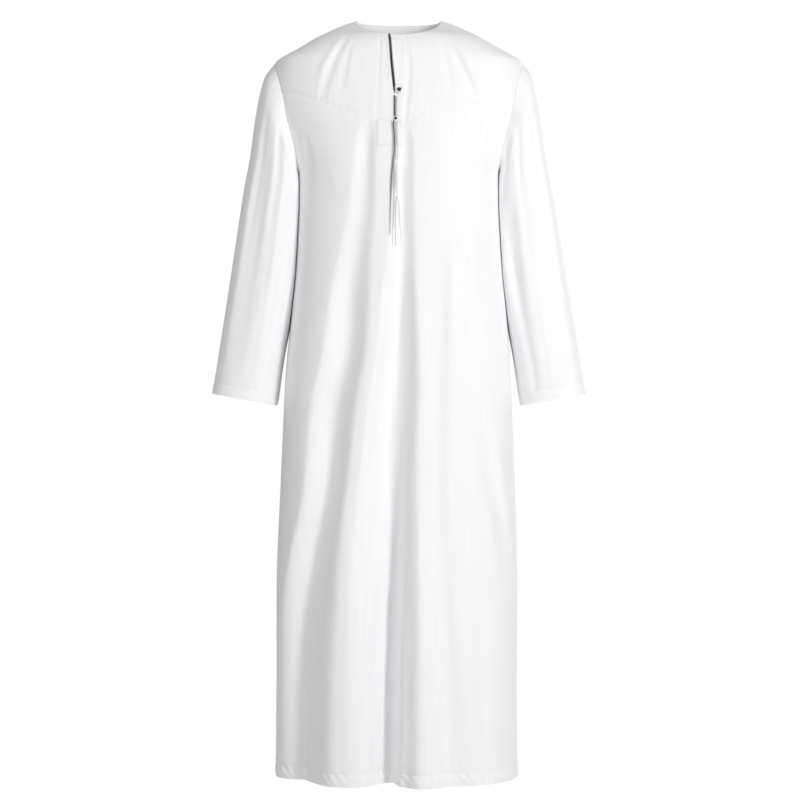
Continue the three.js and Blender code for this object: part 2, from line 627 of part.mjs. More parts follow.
const frontTop = [
  ...[...PANEL_RUN.right].reverse(),
  ...seamRun(PLACKET_EDGE.right, PLACKET_EDGE.left, 5).slice(1),
  ...PANEL_RUN.left.slice(1),
];
addCloth("front_panel", [panelPatch(frontTop, false)]);
addCloth("back_panel", [panelPatch(seamRun(-GORE_CORNER.back, GORE_CORNER.back, 16, true), true)]);

function addPlacket({ name, sign }) {
  const [topX, lowX] =
    sign < 0
      ? [PLACKET_EDGE.topRight, PLACKET_EDGE.right]
      : [PLACKET_EDGE.topLeft, PLACKET_EDGE.left];
  const slitLow = SLIT.at(-1)[name];
  const place = (across, down) => {
    const turn = turnAt(THREE.MathUtils.lerp(topX, SLIT[0][name], across));
    const upper = necklinePlace(turn, NECK_BINDING).drop;
    const lower = frontSeamDrop(THREE.MathUtils.lerp(lowX, slitLow, across));
    const drop = THREE.MathUtils.lerp(upper, lower, down);
    const edgeX = THREE.MathUtils.lerp(topX, lowX, down);
    const slitX = readStraight(SLIT, name, "drop", drop);
    return placeAt(THREE.MathUtils.lerp(edgeX, slitX, across), drop);
  };
  addCloth(`placket_${name}`, [bodyPatch(3, 12, place)]);
}
SIDES.forEach(addPlacket);

// Moves a patch out from the cloth that it lies on.
const lifted = (patch, lift) =>
  patch.map((row) =>
    row.map(({ point, out }) => ({ point: point.clone().addScaledVector(out, lift), out })),
  );

// The stitched lower end of the placket lies on the front panel.
function addPlacketEnd() {
  const place = (across, down) => {
    const x = THREE.MathUtils.lerp(PLACKET_EDGE.right + 2, PLACKET_EDGE.left - 2, across);
    return placeAt(x, THREE.MathUtils.lerp(frontSeamDrop(x) + 1, PLACKET_END_DROP, down));
  };
  addCloth("placket_end", [lifted(bodyPatch(8, 3, place), WALL + PLACKET_END_LIFT)]);
}
addPlacketEnd();

// ---------------------------------------------------------------- gores
// Turns a patch's columns about, so that all of a piece's faces run the same way.
const mirrored = (patch) => patch.map((row) => [...row].reverse());

// A gore is one piece: a tongue in front of the armhole, one behind it, and the skirt below.
function gorePatches(side, isBack) {
  const sideLine = isBack ? 2 - side.sign : side.sign;
  const tongueRows = ARMHOLE_STEPS / 2 - YOKE_STEPS;
  const seam = (isBack ? BACK_GORE_RUN : GORE_RUN)[side.name];
  const tongue = bodyPatch(GORE_COLUMNS, tongueRows, (across, down) => {
    if (down === 0) return seam[Math.round(across * GORE_COLUMNS)];
    if (down === 1 && across === 1) return { around: sideLine, drop: ARMPIT };
    const step = YOKE_STEPS + down * tongueRows;
    const arm = armholePlace(isBack ? ARMHOLE_STEPS - step : step, side.sign);
    if (down === 1) arm.around = sideLine;
    return between(tongueSeamPlace(side, isBack, down), arm, across);
  });
  const skirt = bodyPatch(GORE_COLUMNS, SKIRT_ROWS, (across, down) => {
    const drop = skirtDrop(down);
    const start = down ? skirtSeamPlace(side, isBack, drop) : tongueSeamPlace(side, isBack, 1);
    return between(start, { around: sideLine, drop }, across);
  });
  return [tongue, skirt];
}

function addGore(side) {
  addCloth(`gore_${side.name}`, [
    ...gorePatches(side, false),
    ...gorePatches(side, true).map(mirrored),
  ]);
}
SIDES.forEach(addGore);

// ---------------------------------------------------------------- hem band and neck binding
const hemPlace = (across, down) => ({
  around: THREE.MathUtils.lerp(-2, 2, across),
  drop: THREE.MathUtils.lerp(SKIRT_END, ROBE_LENGTH, down),
});
addCloth("hem_band", [bodyPatch(72, 1, hemPlace)], DOUBLE_WALL, TURNED_CLOTH);

function addNeckBinding() {
  const rightTurns = FRONT_NECK_TURNS.map((turn) => 360 - turn).reverse();
  const turns = [
    SLIT_TURN.left,
    PLACKET_TURN.left,
    ...FRONT_NECK_TURNS.slice(0, -1),
    ...BACK_NECK_TURNS,
    ...rightTurns.slice(1),
    360 + PLACKET_TURN.right,
    360 + SLIT_TURN.right,
  ];
  const place = (across, down) =>
    necklinePlace(turns[Math.round(across * (turns.length - 1))], NECK_BINDING * down);
  addCloth("neck_binding", [bodyPatch(turns.length - 1, 1, place)], DOUBLE_WALL, TURNED_CLOTH);
}
addNeckBinding();

// ---------------------------------------------------------------- sleeves
// A point of a plain tube. Angle 0 is its outer edge, 90 the front, 180 the inner edge.
function tubePoint(form, angle, sink = 0) {
  const turn = THREE.MathUtils.degToRad(angle);
  const outer = new THREE.Vector3(form.outX, 0, ORIGIN_DROP - form.outDrop);
  const inner = new THREE.Vector3(form.inX, 0, ORIGIN_DROP - form.inDrop);
  const half = outer.clone().sub(inner).multiplyScalar(0.5);
  const point = outer.lerp(inner, 0.5).addScaledVector(half, Math.cos(turn));
  const depthShare = Math.sign(Math.sin(turn)) * Math.abs(Math.sin(turn)) ** SLEEVE_FLATNESS;
  point.y = -depthShare * form.halfDepth;
  const out = half.normalize().multiplyScalar(Math.cos(turn));
  out.y = -Math.sin(turn);
  return point.addScaledVector(out, -sink);
}

function sleeveForm(step) {
  const form = {};
  for (const name of Object.keys(SLEEVE[0])) form[name] = read(SLEEVE, name, "step", step);
  form.inX = read(BODY, "halfWidth", "drop", form.inDrop) - form.press;
  return form;
}

// How far out the body's side lies at a height and a depth.
function sideOfBody(y, drop) {
  const reach = read(BODY, y < 0 ? "front" : "back", "drop", drop);
  const share = Math.max(0, 1 - Math.abs(y / reach) ** SQUARENESS) ** (1 / SQUARENESS);
  return read(BODY, "halfWidth", "drop", drop) * share;
}

function sleeveTube(step, angle) {
  const form = sleeveForm(step);
  const sink = SLEEVE_FOLDS.reduce((sum, fold) => {
    const reach = THREE.MathUtils.clamp((step - fold.from) / (fold.to - fold.from), 0, 1);
    return sum + fold.depth * Math.sin(reach * Math.PI) * bump((angle - fold.angle) / fold.spread);
  }, 0);
  return tubePoint(form, angle, sink);
}

// The sleeve's left-hand form. Near the body the tube bends to meet the armhole's own line.
function sleevePoint(step, angle) {
  const turn = THREE.MathUtils.euclideanModulo(angle, 360);
  const point = sleeveTube(step, turn);
  const pull = Math.max(0, 1 - step / MEETING_STEPS) ** 2;
  const { around, drop } = armholePlace((turn / 360) * ARMHOLE_STEPS, 1);
  const seam = ringPoint(around, drop).sub(sleeveTube(0, turn));
  point.addScaledVector(seam, pull);
  const pointDrop = ORIGIN_DROP - point.z;
  const below = THREE.MathUtils.smoothstep(pointDrop, ARMPIT - 10, ARMPIT);
  const side = sideOfBody(point.y, pointDrop) + SLEEVE_GAP * below;
  if (pointDrop > ARMPIT - 10) point.x = Math.max(point.x, side);
  return point;
}

// The cuff's turned-up band, from the sleeve's end on.
function cuffPoint(down, angle) {
  const start = sleeveForm(SLEEVE.length - 1);
  const form = {};
  for (const name of Object.keys(CUFF_END)) {
    form[name] = THREE.MathUtils.lerp(start[name], CUFF_END[name], down);
  }
  return tubePoint(form, angle);
}

// A closed tube of cloth over a function of two values, for either arm.
function tubePatch(pointAt, stations, sign) {
  const columns = ARMHOLE_STEPS;
  const [rise, turn] = [0.04, 2];
  const flip = new THREE.Vector3(sign, 1, 1);
  return stations.map((station) =>
    Array.from({ length: columns + 1 }, (_, i) => {
      const angle = ((i % columns) * 360) / columns;
      const low = Math.max(stations[0], station - rise);
      const along = pointAt(low + 2 * rise, angle).sub(pointAt(low, angle));
      const around = pointAt(station, angle + turn).sub(pointAt(station, angle - turn));
      const out = around.cross(along).normalize();
      return { point: pointAt(station, angle).multiply(flip), out: out.multiply(flip) };
    }),
  );
}

function addSleeve({ name, sign }) {
  const stations = [SLEEVE_START, 0.5, 1, 2, 3, 4, 5, 6, 7, 8, 9];
  addCloth(`sleeve_${name}`, [tubePatch(sleevePoint, stations, sign)]);
  const band = tubePatch(cuffPoint, [0, 1], sign);
  addCloth(`cuff_band_${name}`, [band], DOUBLE_WALL, TURNED_CLOTH);
}
SIDES.forEach(addSleeve);

// ---------------------------------------------------------------- slit trim, loop and button
// A round cord through a list of points, closed at both ends.
function cordGeometry(points, diameter) {
  const route = new THREE.CatmullRomCurve3(points.map((point) => new THREE.Vector3(...point)));
  const round = new THREE.Shape();
  for (let k = 0; k < CORD_SIDES; k++) {
    const turn = (k * 2 * Math.PI) / CORD_SIDES;
    const corner = [(diameter / 2) * Math.cos(turn), (diameter / 2) * Math.sin(turn)];
    if (k) round.lineTo(...corner);
    else round.moveTo(...corner);
  }
  const steps = Math.ceil(route.getLength() / (CORD_STEP * diameter));
  return new THREE.ExtrudeGeometry(round, { steps, extrudePath: route, bevelEnabled: false });
}

for (const { name, diameter, color, points } of CORDS) {
  addMesh(name, cordGeometry(points, diameter), cloth(color, 0.5));
}

// Round pieces that sit on the placket and the tassel.
for (const { name, color, middle, size } of KNOBS) {
  const knob = addMesh(name, new THREE.SphereGeometry(0.5, 14, 10), cloth(color, 0.45));
  knob.position.set(...middle);
  knob.scale.set(...size);
}

export default robe;
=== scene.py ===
from bisect import bisect_right
from math import asin, cos, exp, hypot, pi, radians, sin

import bmesh
import bpy
from mathutils import Matrix, Vector, noise


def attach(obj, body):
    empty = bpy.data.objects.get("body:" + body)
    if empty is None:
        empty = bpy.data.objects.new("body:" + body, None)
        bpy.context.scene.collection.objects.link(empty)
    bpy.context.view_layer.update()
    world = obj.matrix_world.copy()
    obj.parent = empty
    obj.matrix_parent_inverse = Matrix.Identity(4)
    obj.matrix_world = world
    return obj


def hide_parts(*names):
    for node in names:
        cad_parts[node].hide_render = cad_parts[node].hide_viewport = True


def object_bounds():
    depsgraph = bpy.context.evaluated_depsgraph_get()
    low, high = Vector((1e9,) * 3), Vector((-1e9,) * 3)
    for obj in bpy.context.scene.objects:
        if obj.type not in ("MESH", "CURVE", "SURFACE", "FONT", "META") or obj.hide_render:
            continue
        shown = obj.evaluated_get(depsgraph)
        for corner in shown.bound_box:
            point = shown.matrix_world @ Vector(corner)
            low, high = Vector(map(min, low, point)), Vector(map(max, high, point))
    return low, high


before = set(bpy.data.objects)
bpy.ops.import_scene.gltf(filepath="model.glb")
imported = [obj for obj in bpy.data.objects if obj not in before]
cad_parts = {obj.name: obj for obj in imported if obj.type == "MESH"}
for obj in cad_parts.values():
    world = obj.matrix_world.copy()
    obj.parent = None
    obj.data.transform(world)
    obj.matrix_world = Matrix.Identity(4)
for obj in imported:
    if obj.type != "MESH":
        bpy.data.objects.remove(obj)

cad_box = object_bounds()

# ---------- studio
# A level camera four metres in front of the robe, a white world, a soft key light at its front
# left, a weaker one at its front right, one overhead, one behind, and a plain pale floor.
CAMERA_AWAY = 4.0
CAMERA_HEIGHT = -0.689
VIEW_WIDTH = 1.48

camera_data = bpy.data.cameras.new("camera")
camera_data.sensor_width = 36.0
camera_data.lens = camera_data.sensor_width * CAMERA_AWAY / VIEW_WIDTH
camera = bpy.data.objects.new("camera", camera_data)
camera.location = (0.002, -CAMERA_AWAY, CAMERA_HEIGHT)
camera.rotation_euler = (radians(90), 0, 0)
bpy.context.collection.objects.link(camera)
bpy.context.scene.camera = camera
bpy.context.scene.view_settings.view_transform = "Standard"

def new_node(tree, kind, **values):
    """A node with its inputs' values; an underscore in an input's name stands for a space."""
    node = tree.nodes.new("ShaderNode" + kind)
    for entry, value in values.items():
        node.inputs[entry.replace("_", " ")].default_value = value
    return node


def new_material(name):
    material = bpy.data.materials.new(name)
    material.use_nodes = True
    tree = material.node_tree
    return material, tree, tree.links, tree.nodes["Principled BSDF"]


ROOM_LIGHT = 0.3  # of the white that the camera sees behind the robe
world = bpy.data.worlds.new("white_room")
bpy.context.scene.world = world
world.use_nodes = True
room = world.node_tree
background = room.nodes["Background"]
background.inputs["Color"].default_value = (1.0, 1.0, 1.0, 1.0)
ray = new_node(room, "LightPath")
level = new_node(room, "MapRange", To_Min=ROOM_LIGHT, To_Max=1.0)
room.links.new(ray.outputs["Is Camera Ray"], level.inputs["Value"])
room.links.new(level.outputs["Result"], background.inputs["Strength"])

LIGHTS = (  # name, place, height of what it is aimed at, size, power
    ("key", (2.5, -3.0, 0.6), -0.66, 0.8, 81),
    ("fill", (-2.5, -3.4, 0.2), -0.7, 1.6, 30),
    ("overhead", (0.0, -0.9, 2.4), 0.0, 1.6, 8),
    ("back", (2.2, 3.4, 0.7), -0.66, 1.2, 52),
)
for name, place, aim_height, size, power in LIGHTS:
    data = bpy.data.lights.new(name, "AREA")
    data.shape = "DISK"
    data.size = size
    data.energy = power
    light = bpy.data.objects.new(name, data)
    light.location = place
    aim = Vector((0, 0, aim_height)) - Vector(place)
    light.rotation_euler = aim.to_track_quat("-Z", "Y").to_euler()
    bpy.context.collection.objects.link(light)

FLOOR_DROP = 0.12
FLOOR_REACH = 6.0
floor_mesh = bpy.data.meshes.new("floor")
bm = bmesh.new()
bmesh.ops.create_grid(bm, x_segments=1, y_segments=1, size=FLOOR_REACH)
for corner in bm.verts:
    corner.co.z = cad_box[0][2] - FLOOR_DROP
bm.to_mesh(floor_mesh)
bm.free()
floor = bpy.data.objects.new("floor", floor_mesh)
bpy.context.collection.objects.link(floor)
floor_paint, tree, links, matt = new_material("pale_floor")
matt.inputs["Base Color"].default_value = (0.88, 0.88, 0.88, 1.0)
matt.inputs["Roughness"].default_value = 0.9
lit = new_node(tree, "Emission")
seen = new_node(tree, "LightPath")
either = new_node(tree, "MixShader")
links.new(seen.outputs["Is Camera Ray"], either.inputs["Fac"])
links.new(matt.outputs["BSDF"], either.inputs[1])
links.new(lit.outputs["Emission"], either.inputs[2])
links.new(either.outputs["Shader"], tree.nodes["Material Output"].inputs["Surface"])
floor_mesh.materials.append(floor_paint)

# ---------- tassel cords
# Thin cords hang from the lower end of the neck slit: a near-black one and a pale one side by side,
# knotted together, and below the knot the long dark strand and the pale one that carries the head.
# All are two-ply twisted thread, so each tube is drawn with its plies. The long dark strand is a
# dark cord whose fading tone is painted shade for the shadow line beside the tassel, paler at its
# foot.
MM = 0.001


def smooth_read(keys, values):
    """A smooth curve through a table's rows that never overshoots them."""
    last = len(keys) - 1
    rise = [(values[i + 1] - values[i]) / (keys[i + 1] - keys[i]) for i in range(last)]
    inner = [2 * a * b / (a + b) if a * b > 0 else 0.0 for a, b in zip(rise, rise[1:])]
    slopes = [rise[0], *inner, rise[-1]]

    def at(key):
        if key <= keys[0]:
            return values[0]
        if key >= keys[last]:
            return values[last]
        i = bisect_right(keys, key) - 1
        span = keys[i + 1] - keys[i]
        t = (key - keys[i]) / span
        s = 1 - t
        return (
            values[i] * (1 + 2 * t) * s * s + values[i + 1] * t * t * (3 - 2 * t)
            + slopes[i] * span * t * s * s - slopes[i + 1] * span * t * t * s
        )

    return at


def route_reader(points):
    """The smooth route through a cord's points, by its length from the start."""
    lengths = [0.0]
    for a, b in zip(points, points[1:]):
        lengths.append(lengths[-1] + (Vector(b) - Vector(a)).length)
    axes = [smooth_read(lengths, [point[k] for point in points]) for k in range(3)]
    return lengths[-1], lambda s: Vector([axis(s) for axis in axes])


def new_piece(name, bm, *materials):
    mesh = bpy.data.meshes.new(name)
    bm.to_mesh(mesh)
    bm.free()
    for face in mesh.polygons:
        face.use_smooth = True
    for material in materials:
        mesh.materials.append(material)
    piece = bpy.data.objects.new(name, mesh)
    bpy.context.collection.objects.link(piece)
    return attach(piece, "root")


def twisted_cord(name, points_mm, diameter_mm, material, taper=1.0, plies=2, sides=12):
    """A tube along a route, drawn in between its plies; taper is its end's share of the width."""
    length, route = route_reader(points_mm)
    ring_step = 0.3 * diameter_mm
    lay_length = 2.6 * diameter_mm
    rings = max(8, round(length / ring_step))
    bm = bmesh.new()
    grid = bmesh.ops.create_grid(bm, x_segments=sides, y_segments=rings, size=0.5)
    uv = bm.loops.layers.uv.new("along_cord")
    shares = {}
    for vertex in grid["verts"]:
        u, v = vertex.co.x + 0.5, vertex.co.y + 0.5
        s = v * length
        shares[vertex] = (u * pi * diameter_mm * MM, s * MM)
        ahead = route(min(length, s + 0.4)) - route(max(0.0, s - 0.4))
        ahead.normalize()
        side = ahead.cross(Vector((0, 1, 0))).normalized()
        front = ahead.cross(side)
        turn = 2 * pi * u
        groove = 0.5 - 0.5 * cos(plies * (turn - 2 * pi * s / (lay_length * plies / 2)))
        end_round = min(1.0, (s + 0.12) / 0.5, (length - s + 0.12) / 0.5)
        width = 1 + (taper - 1) * max(0.0, v - 0.55) / 0.45
        radius = 0.5 * diameter_mm * (1.06 - 0.2 * groove) * width * max(0.2, end_round)
        vertex.co = (route(s) + side * radius * cos(turn) + front * radius * sin(turn)) * MM
    for face in bm.faces:
        for loop in face.loops:
            loop[uv].uv = shares[loop.vert]
    bmesh.ops.remove_doubles(bm, verts=bm.verts, dist=1e-6)
    bmesh.ops.holes_fill(bm, edges=[edge for edge in bm.edges if edge.is_boundary])
    bmesh.ops.recalc_face_normals(bm, faces=bm.faces)
    piece = new_piece(name, bm, material)
    path = [list(route(length * k / 40) * MM) for k in range(41)]
    return piece, length * MM, path


def two_tones(tree, *stops):
    ramp = new_node(tree, "ValToRGB")
    for stop, (position, tone) in zip(ramp.color_ramp.elements, stops):
        stop.position = position
        stop.color = (*tone, 1)
    return ramp


def thread_finish(name, dark, light, rough, shade_fade=None):
    """Twisted thread: two close tones and fibres that roughen it; with a fade, painted shade pales
    downwards.
    """
    material, tree, links, shader = new_material(name)
    place = new_node(tree, "TexCoord")
    fibres = new_node(tree, "TexNoise", Scale=2600, Detail=3)
    tones = two_tones(tree, (0.3, dark), (0.7, light))
    relief = new_node(tree, "Bump", Strength=0.5, Distance=0.0002)
    links.new(place.outputs["Object"], fibres.inputs["Vector"])
    links.new(fibres.outputs["Fac"], tones.inputs["Fac"])
    links.new(fibres.outputs["Fac"], relief.inputs["Height"])
    colour = tones.outputs["Color"]
    if shade_fade:
        (top, foot), pale_tone = shade_fade
        height = new_node(tree, "SeparateXYZ")
        down = new_node(tree, "MapRange", From_Min=top, From_Max=foot)
        pale = new_node(tree, "Mix")
        pale.data_type = "RGBA"
        pale.inputs["B"].default_value = (*pale_tone, 1)
        links.new(place.outputs["Object"], height.inputs["Vector"])
        links.new(height.outputs["Z"], down.inputs["Value"])
        links.new(down.outputs["Result"], pale.inputs["Factor"])
        links.new(colour, pale.inputs["A"])
        colour = pale.outputs["Result"]
    links.new(colour, shader.inputs["Base Color"])
    links.new(relief.outputs["Normal"], shader.inputs["Normal"])
    shader.inputs["Roughness"].default_value = rough
    shader.inputs["Sheen Weight"].default_value = 0.2
    return material


dark_thread = thread_finish("dark_thread", (0.006, 0.006, 0.007), (0.03, 0.03, 0.034), 0.55)
# Painted shade: the dark strand pales to grey down its length, as the shadow beside the tassel
# does.
shadow_strand_thread = thread_finish(
    "shadow_dark_thread", (0.006, 0.006, 0.007), (0.03, 0.03, 0.034), 0.55,
    ((-0.2, -0.43), (0.42, 0.42, 0.43)),
)
grey_thread = thread_finish("grey_thread", (0.6, 0.6, 0.62), (0.8, 0.8, 0.82), 0.6)
white_thread = thread_finish("white_thread", (0.8, 0.8, 0.81), (0.93, 0.93, 0.94), 0.6)

TASSEL = (
    ("tassel_cord_dark", 2.2, dark_thread, "dark_cord", 1.0, "knot", (
        (-8, -119.4, -141.5), (-7.6, -120.6, -150), (-7.9, -122.2, -166), (-7.5, -123.9, -179.6))),
    ("tassel_cord_white", 2.2, grey_thread, "grey_cord", 1.0, "knot", (
        (-3, -119.9, -143), (-3.4, -120.8, -150), (-3.6, -122.3, -166), (-3.8, -123.9, -179.6))),
    ("tassel_strand_dark", 2.2, shadow_strand_thread, "dark_cord", 0.45, "bare", (
        (-9.2, -127, -187.6), (-10.2, -127.2, -194), (-8.8, -128.2, -209), (-8, -129.6, -234),
        (-10.7, -130.2, -265), (-12.9, -131, -287), (-14.3, -132.4, -333), (-15.4, -133.2, -374),
        (-15.9, -133.5, -394))),
    ("tassel_strand_white", 2.4, grey_thread, "grey_cord", 1.0, "knot", (
        (-4, -127.2, -187.6), (-3.4, -127.6, -196), (-2.6, -128.8, -216), (-2, -129.9, -236),
        (-3, -131.6, -259.6))),
    ("tassel_fringe_long", 2.0, grey_thread, "grey_cord", 0.6, "bare", (
        (-4.6, -133, -324.6), (-5.2, -132.8, -340), (-5.9, -133, -374), (-6.3, -133.2, -402),
        (-5, -133.4, -415.5))),
    ("tassel_fringe_middle", 2.0, white_thread, "white_cord", 0.6, "bare", (
        (-1.8, -133, -324.6), (0.6, -132.8, -340), (2, -133, -372), (3.5, -132.8, -392),
        (1.8, -132.8, -405.5))),
    ("tassel_fringe_short", 1.8, white_thread, "white_cord", 0.6, "bare", (
        (-2.9, -135.4, -324.4), (-0.8, -135.4, -340), (-1.2, -135.6, -356), (0.4, -135.6, -377))),
)
for name, diameter, material, slot, taper, end, points in TASSEL:
    strand, length, path = twisted_cord(f"{name}_ply", points, diameter, material, taper)
    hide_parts(name)

# ---------- knots and tassel head
# The two cords meet in a small knot, the pale strand swells into a head wrapped round and round
# with thread, and a hard dark knot serves as the button in the loop at the slit's foot.


def wound_knob(name, node, middle, size, material, turns, depth, heart=0.0):
    """A rounded body drawn in by the turns of thread wound about it."""
    bm = bmesh.new()
    bmesh.ops.create_uvsphere(bm, u_segments=24, v_segments=max(16, int(turns * 8)), radius=0.5)
    for vertex in bm.verts:
        x, y, z = vertex.co
        groove = 1 - depth * (0.5 + 0.5 * cos(2 * pi * turns * (z + 0.5) + 2.2 * x))
        cleft = 1 - heart * exp(-(x / 0.14) ** 2) * max(0.0, z) * 2
        point = Vector((x * groove * size[0], y * groove * size[1], z * cleft * size[2]))
        vertex.co = (Vector(middle) + point) * MM
    piece = new_piece(name, bm, material)
    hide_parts(node)
    return piece


wound_knob("button_knot", "knot_button", (0.6, -119.9, -130.6), (7.4, 6.2, 7.2), dark_thread,
           3, 0.1, heart=0.45)
wound_knob("cord_knot", "tassel_knot", (-5.8, -125.2, -183.6), (5.6, 4.8, 5.4), dark_thread,
           3, 0.16)
wound_knob("wrapped_head", "tassel_head", (-3.2, -133.4, -292), (6.2, 5.8, 63.6), white_thread,
           30, 0.12)

# ---------- front panel
# The front of the skirt, cut in one from the V yoke seam to the hem band: plain white shirting with
# upright threads. It hangs from the chest and falls into two deep folds and a few faint ones.
ORIGIN_DROP = 12.0
HEM_DROP = 1392.0
SKIRT_END = 1369.0
ARMPIT = 290.0
WALL = 1.2
SQUARENESS = 2.4

# Heights are drops below the neck points, in millimetres, as all sizes of the cloth are.
BODY_ROWS = (  # drop, half width, reach of the front, reach of the back, lean
    (0, 77, 5, 66, 0), (4, 90, 15, 73, 0), (13, 113, 34, 82, 0), (24, 135, 56, 90, 0),
    (36, 157, 81, 98, 0), (47, 175, 91, 104, 0), (58, 194, 97, 109, 0), (69, 214, 101, 113, 0),
    (80, 229, 104, 117, 0), (115, 238, 111, 126, 0), (145, 238, 116, 131, 0),
    (185, 227, 121, 135, 0), (225, 212, 124, 136, 0), (255, 203, 126, 136, 0),
    (290, 189, 128, 134, 0), (345, 188.5, 130, 131, 0), (406, 190.5, 131, 129, 0),
    (472, 193, 131, 128, 0), (535, 198, 131, 128, 0), (650, 207, 132, 131, -1.5),
    (850, 215.5, 136, 138, -2.5), (1050, 222, 144, 147, -4), (1392, 222.5, 155, 160, -4.5),
)
YOKE_SEAM_ROWS = (  # x, drop
    (-213, 139.4), (-181, 148), (-138, 164), (-97, 180), (-74, 188), (-41, 196.5), (8, 204),
    (41, 184), (64, 176.5), (92, 171), (136, 161), (176, 153), (213, 139.4),
)
TONGUE_ROWS = (  # down, right, left, back: the gore seams above the armpit, as shares of half width
    (0, 0.59, 0.58, 0.59), (1 / 3, 0.735, 0.66, 0.7), (2 / 3, 0.83, 0.735, 0.79),
    (8 / 9, 0.895, 0.795, 0.84), (1, 0.925, 0.825, 0.86),
)
SKIRT_ROWS = (  # drop, right, left, back: the same seams below it
    (290, 0.925, 0.825, 0.86), (373, 0.972, 0.915, 0.91), (456, 0.975, 0.965, 0.94),
    (1392, 0.975, 0.975, 0.95),
)
FRONT_FOLD_ROWS = (  # drop, x, depth, spread to the right, spread to the left
    (  # from the right end of the V seam, outward to the hem
        (196, -54, 0, 18, 14), (250, -58, 7, 24, 17), (344, -64, 8, 28, 24),
        (433, -77, 10, 32, 32), (522, -92, 19, 36, 44), (612, -99, 23, 40, 46),
        (701, -119, 25, 40, 50), (880, -138, 28, 36, 48), (970, -159, 30, 36, 62),
        (1149, -186, 33, 33, 80), (1392, -194, 34, 30, 83),
    ),
    (  # from the left end of the V seam, a broad wall that faces the wearer's right
        (200, 10, 0, 16, 12), (250, 11, 8, 20, 18), (344, 7, 12, 24, 22), (433, 5.6, 15, 28, 26),
        (522, 1.2, 29, 34, 32), (612, -2.5, 35, 38, 40), (701, -12, 37, 42, 52),
        (791, -18, 37, 46, 54), (880, -22, 33, 54, 58), (970, -22, 28, 64, 62),
        (1149, -18, 23, 74, 64), (1392, -16, 20, 74, 62),
    ),
    (  # the same fold's steep step, from the knee to the hem
        (760, 6, 0, 30, 16), (880, 4, 12, 40, 15), (970, 3, 24, 48, 15), (1149, -4, 35, 54, 16),
        (1392, -9, 40, 56, 17),
    ),
    (  # the crest beside it
        (500, 50, 0, 26, 60), (860, 44, -7, 26, 60), (1392, 40, -11, 26, 60),
    ),
    (  # a faint fold over the wearer's left leg
        (380, 72, 0, 34, 26), (560, 70, 4, 40, 24), (850, 70, 6, 42, 24), (1200, 88, 8, 42, 34),
        (1392, 106, 10, 45, 38),
    ),
    (  # a short slanting fold at the wearer's left hip
        (690, 150, 0, 26, 18), (775, 163, 6, 30, 18), (850, 176, 7, 30, 17),
        (950, 196, 5, 24, 15), (1060, 208, 0, 24, 14),
    ),
)
BACK_FOLD_ROWS = (
    (
        (170, -62, 0, 40, 34), (560, -70, 8, 46, 36), (1392, -98, 30, 52, 40),
    ),
    (
        (240, 22, 0, 34, 40), (700, 26, 12, 36, 44), (1392, 14, 34, 38, 54),
    ),
    (
        (420, 104, 0, 34, 40), (900, 118, 11, 36, 42), (1392, 132, 20, 38, 44),
    ),
)
# Creases, each a line of points: x, drop, depth, half width. A negative depth is a ridge.
FRONT_CREASES = (
    ((-87, 30, 0, 7), (-104, 60, 2.4, 9), (-122, 96, 3.2, 12), (-138, 150, 1.5, 12)),
    ((-96, 30, 0, 7), (-116, 60, -1.6, 9), (-134, 96, -2.0, 11), (-152, 140, 0, 10)),
    ((-80, 46, 0, 6), (-92, 78, 1.4, 8), (-100, 118, 1.6, 10), (-110, 160, 0, 9)),
    ((84, 30, 0, 6), (103, 76, 3.4, 8), (122, 118, 3.4, 10), (139, 156, 2, 10)),
    ((92, 26, 0, 6), (113, 70, -2, 8), (134, 112, -2.2, 10), (152, 148, 0, 9)),
    ((74, 44, 0, 6), (84, 84, 1.8, 8), (92, 124, 1.6, 9), (100, 160, 0, 8)),
    ((14, 62, 0, 5), (18, 84, 1.6, 6), (18, 120, 2.4, 7), (15, 160, 2.6, 7), (10, 200, 2, 6)),
    ((-172, 215, 0, 8), (-164, 262, 2.4, 10), (-160, 330, 0, 10)),
    ((172, 215, 0, 8), (166, 262, 2.4, 10), (164, 330, 0, 10)),
    ((-196, 190, 0, 7), (-186, 236, 1.8, 8), (-180, 282, 0, 8)),
    ((196, 190, 0, 7), (186, 236, 1.8, 8), (180, 282, 0, 8)),
    ((92, 420, 0, 14), (98, 520, -2, 20), (104, 700, -2, 22), (110, 900, 0, 22)),
    ((-6, 300, 0, 16), (-12, 480, -2.6, 22), (-26, 760, -3, 26), (-60, 1050, 0, 26)),
    ((150, 1000, 0, 14), (150, 1150, 2.4, 18), (158, 1380, 3, 20)),
    ((-190, 1000, 0, 14), (-192, 1180, 3, 16), (-196, 1392, 4, 16)),
)
BACK_CREASES = (
    ((-80, 10, 0, 8), (-104, 56, 2.4, 10), (-124, 100, 2.6, 12), (-142, 150, 0, 12)),
    ((82, 10, 0, 8), (106, 58, 2.6, 10), (128, 100, 2.4, 12), (146, 152, 0, 12)),
    ((-60, 30, 0, 8), (-66, 80, 1.6, 10), (-68, 150, 0, 10)),
    ((58, 26, 0, 8), (64, 90, 1.8, 10), (66, 150, 0, 10)),
    ((-40, 164, 0, 7), (-46, 230, 3.6, 12), (-54, 360, 3, 16), (-62, 540, 0, 20)),
    ((34, 164, 0, 7), (34, 220, 3.4, 12), (30, 340, 3.2, 15), (26, 520, 0, 18)),
    ((-176, 220, 0, 8), (-166, 270, 2.4, 10), (-162, 340, 0, 10)),
    ((176, 220, 0, 8), (168, 270, 2.4, 10), (166, 340, 0, 10)),
    ((-150, 620, 0, 14), (-156, 900, 3, 18), (-166, 1380, 4, 20)),
    ((176, 760, 0, 14), (180, 1000, 3, 18), (184, 1380, 4, 18)),
    ((70, 360, 0, 16), (66, 640, -3, 22), (62, 1000, -4, 26), (66, 1392, -4, 28)),
    ((-24, 420, 0, 16), (-30, 700, -3, 22), (-40, 1050, -4, 26), (-44, 1392, -4, 26)),
)


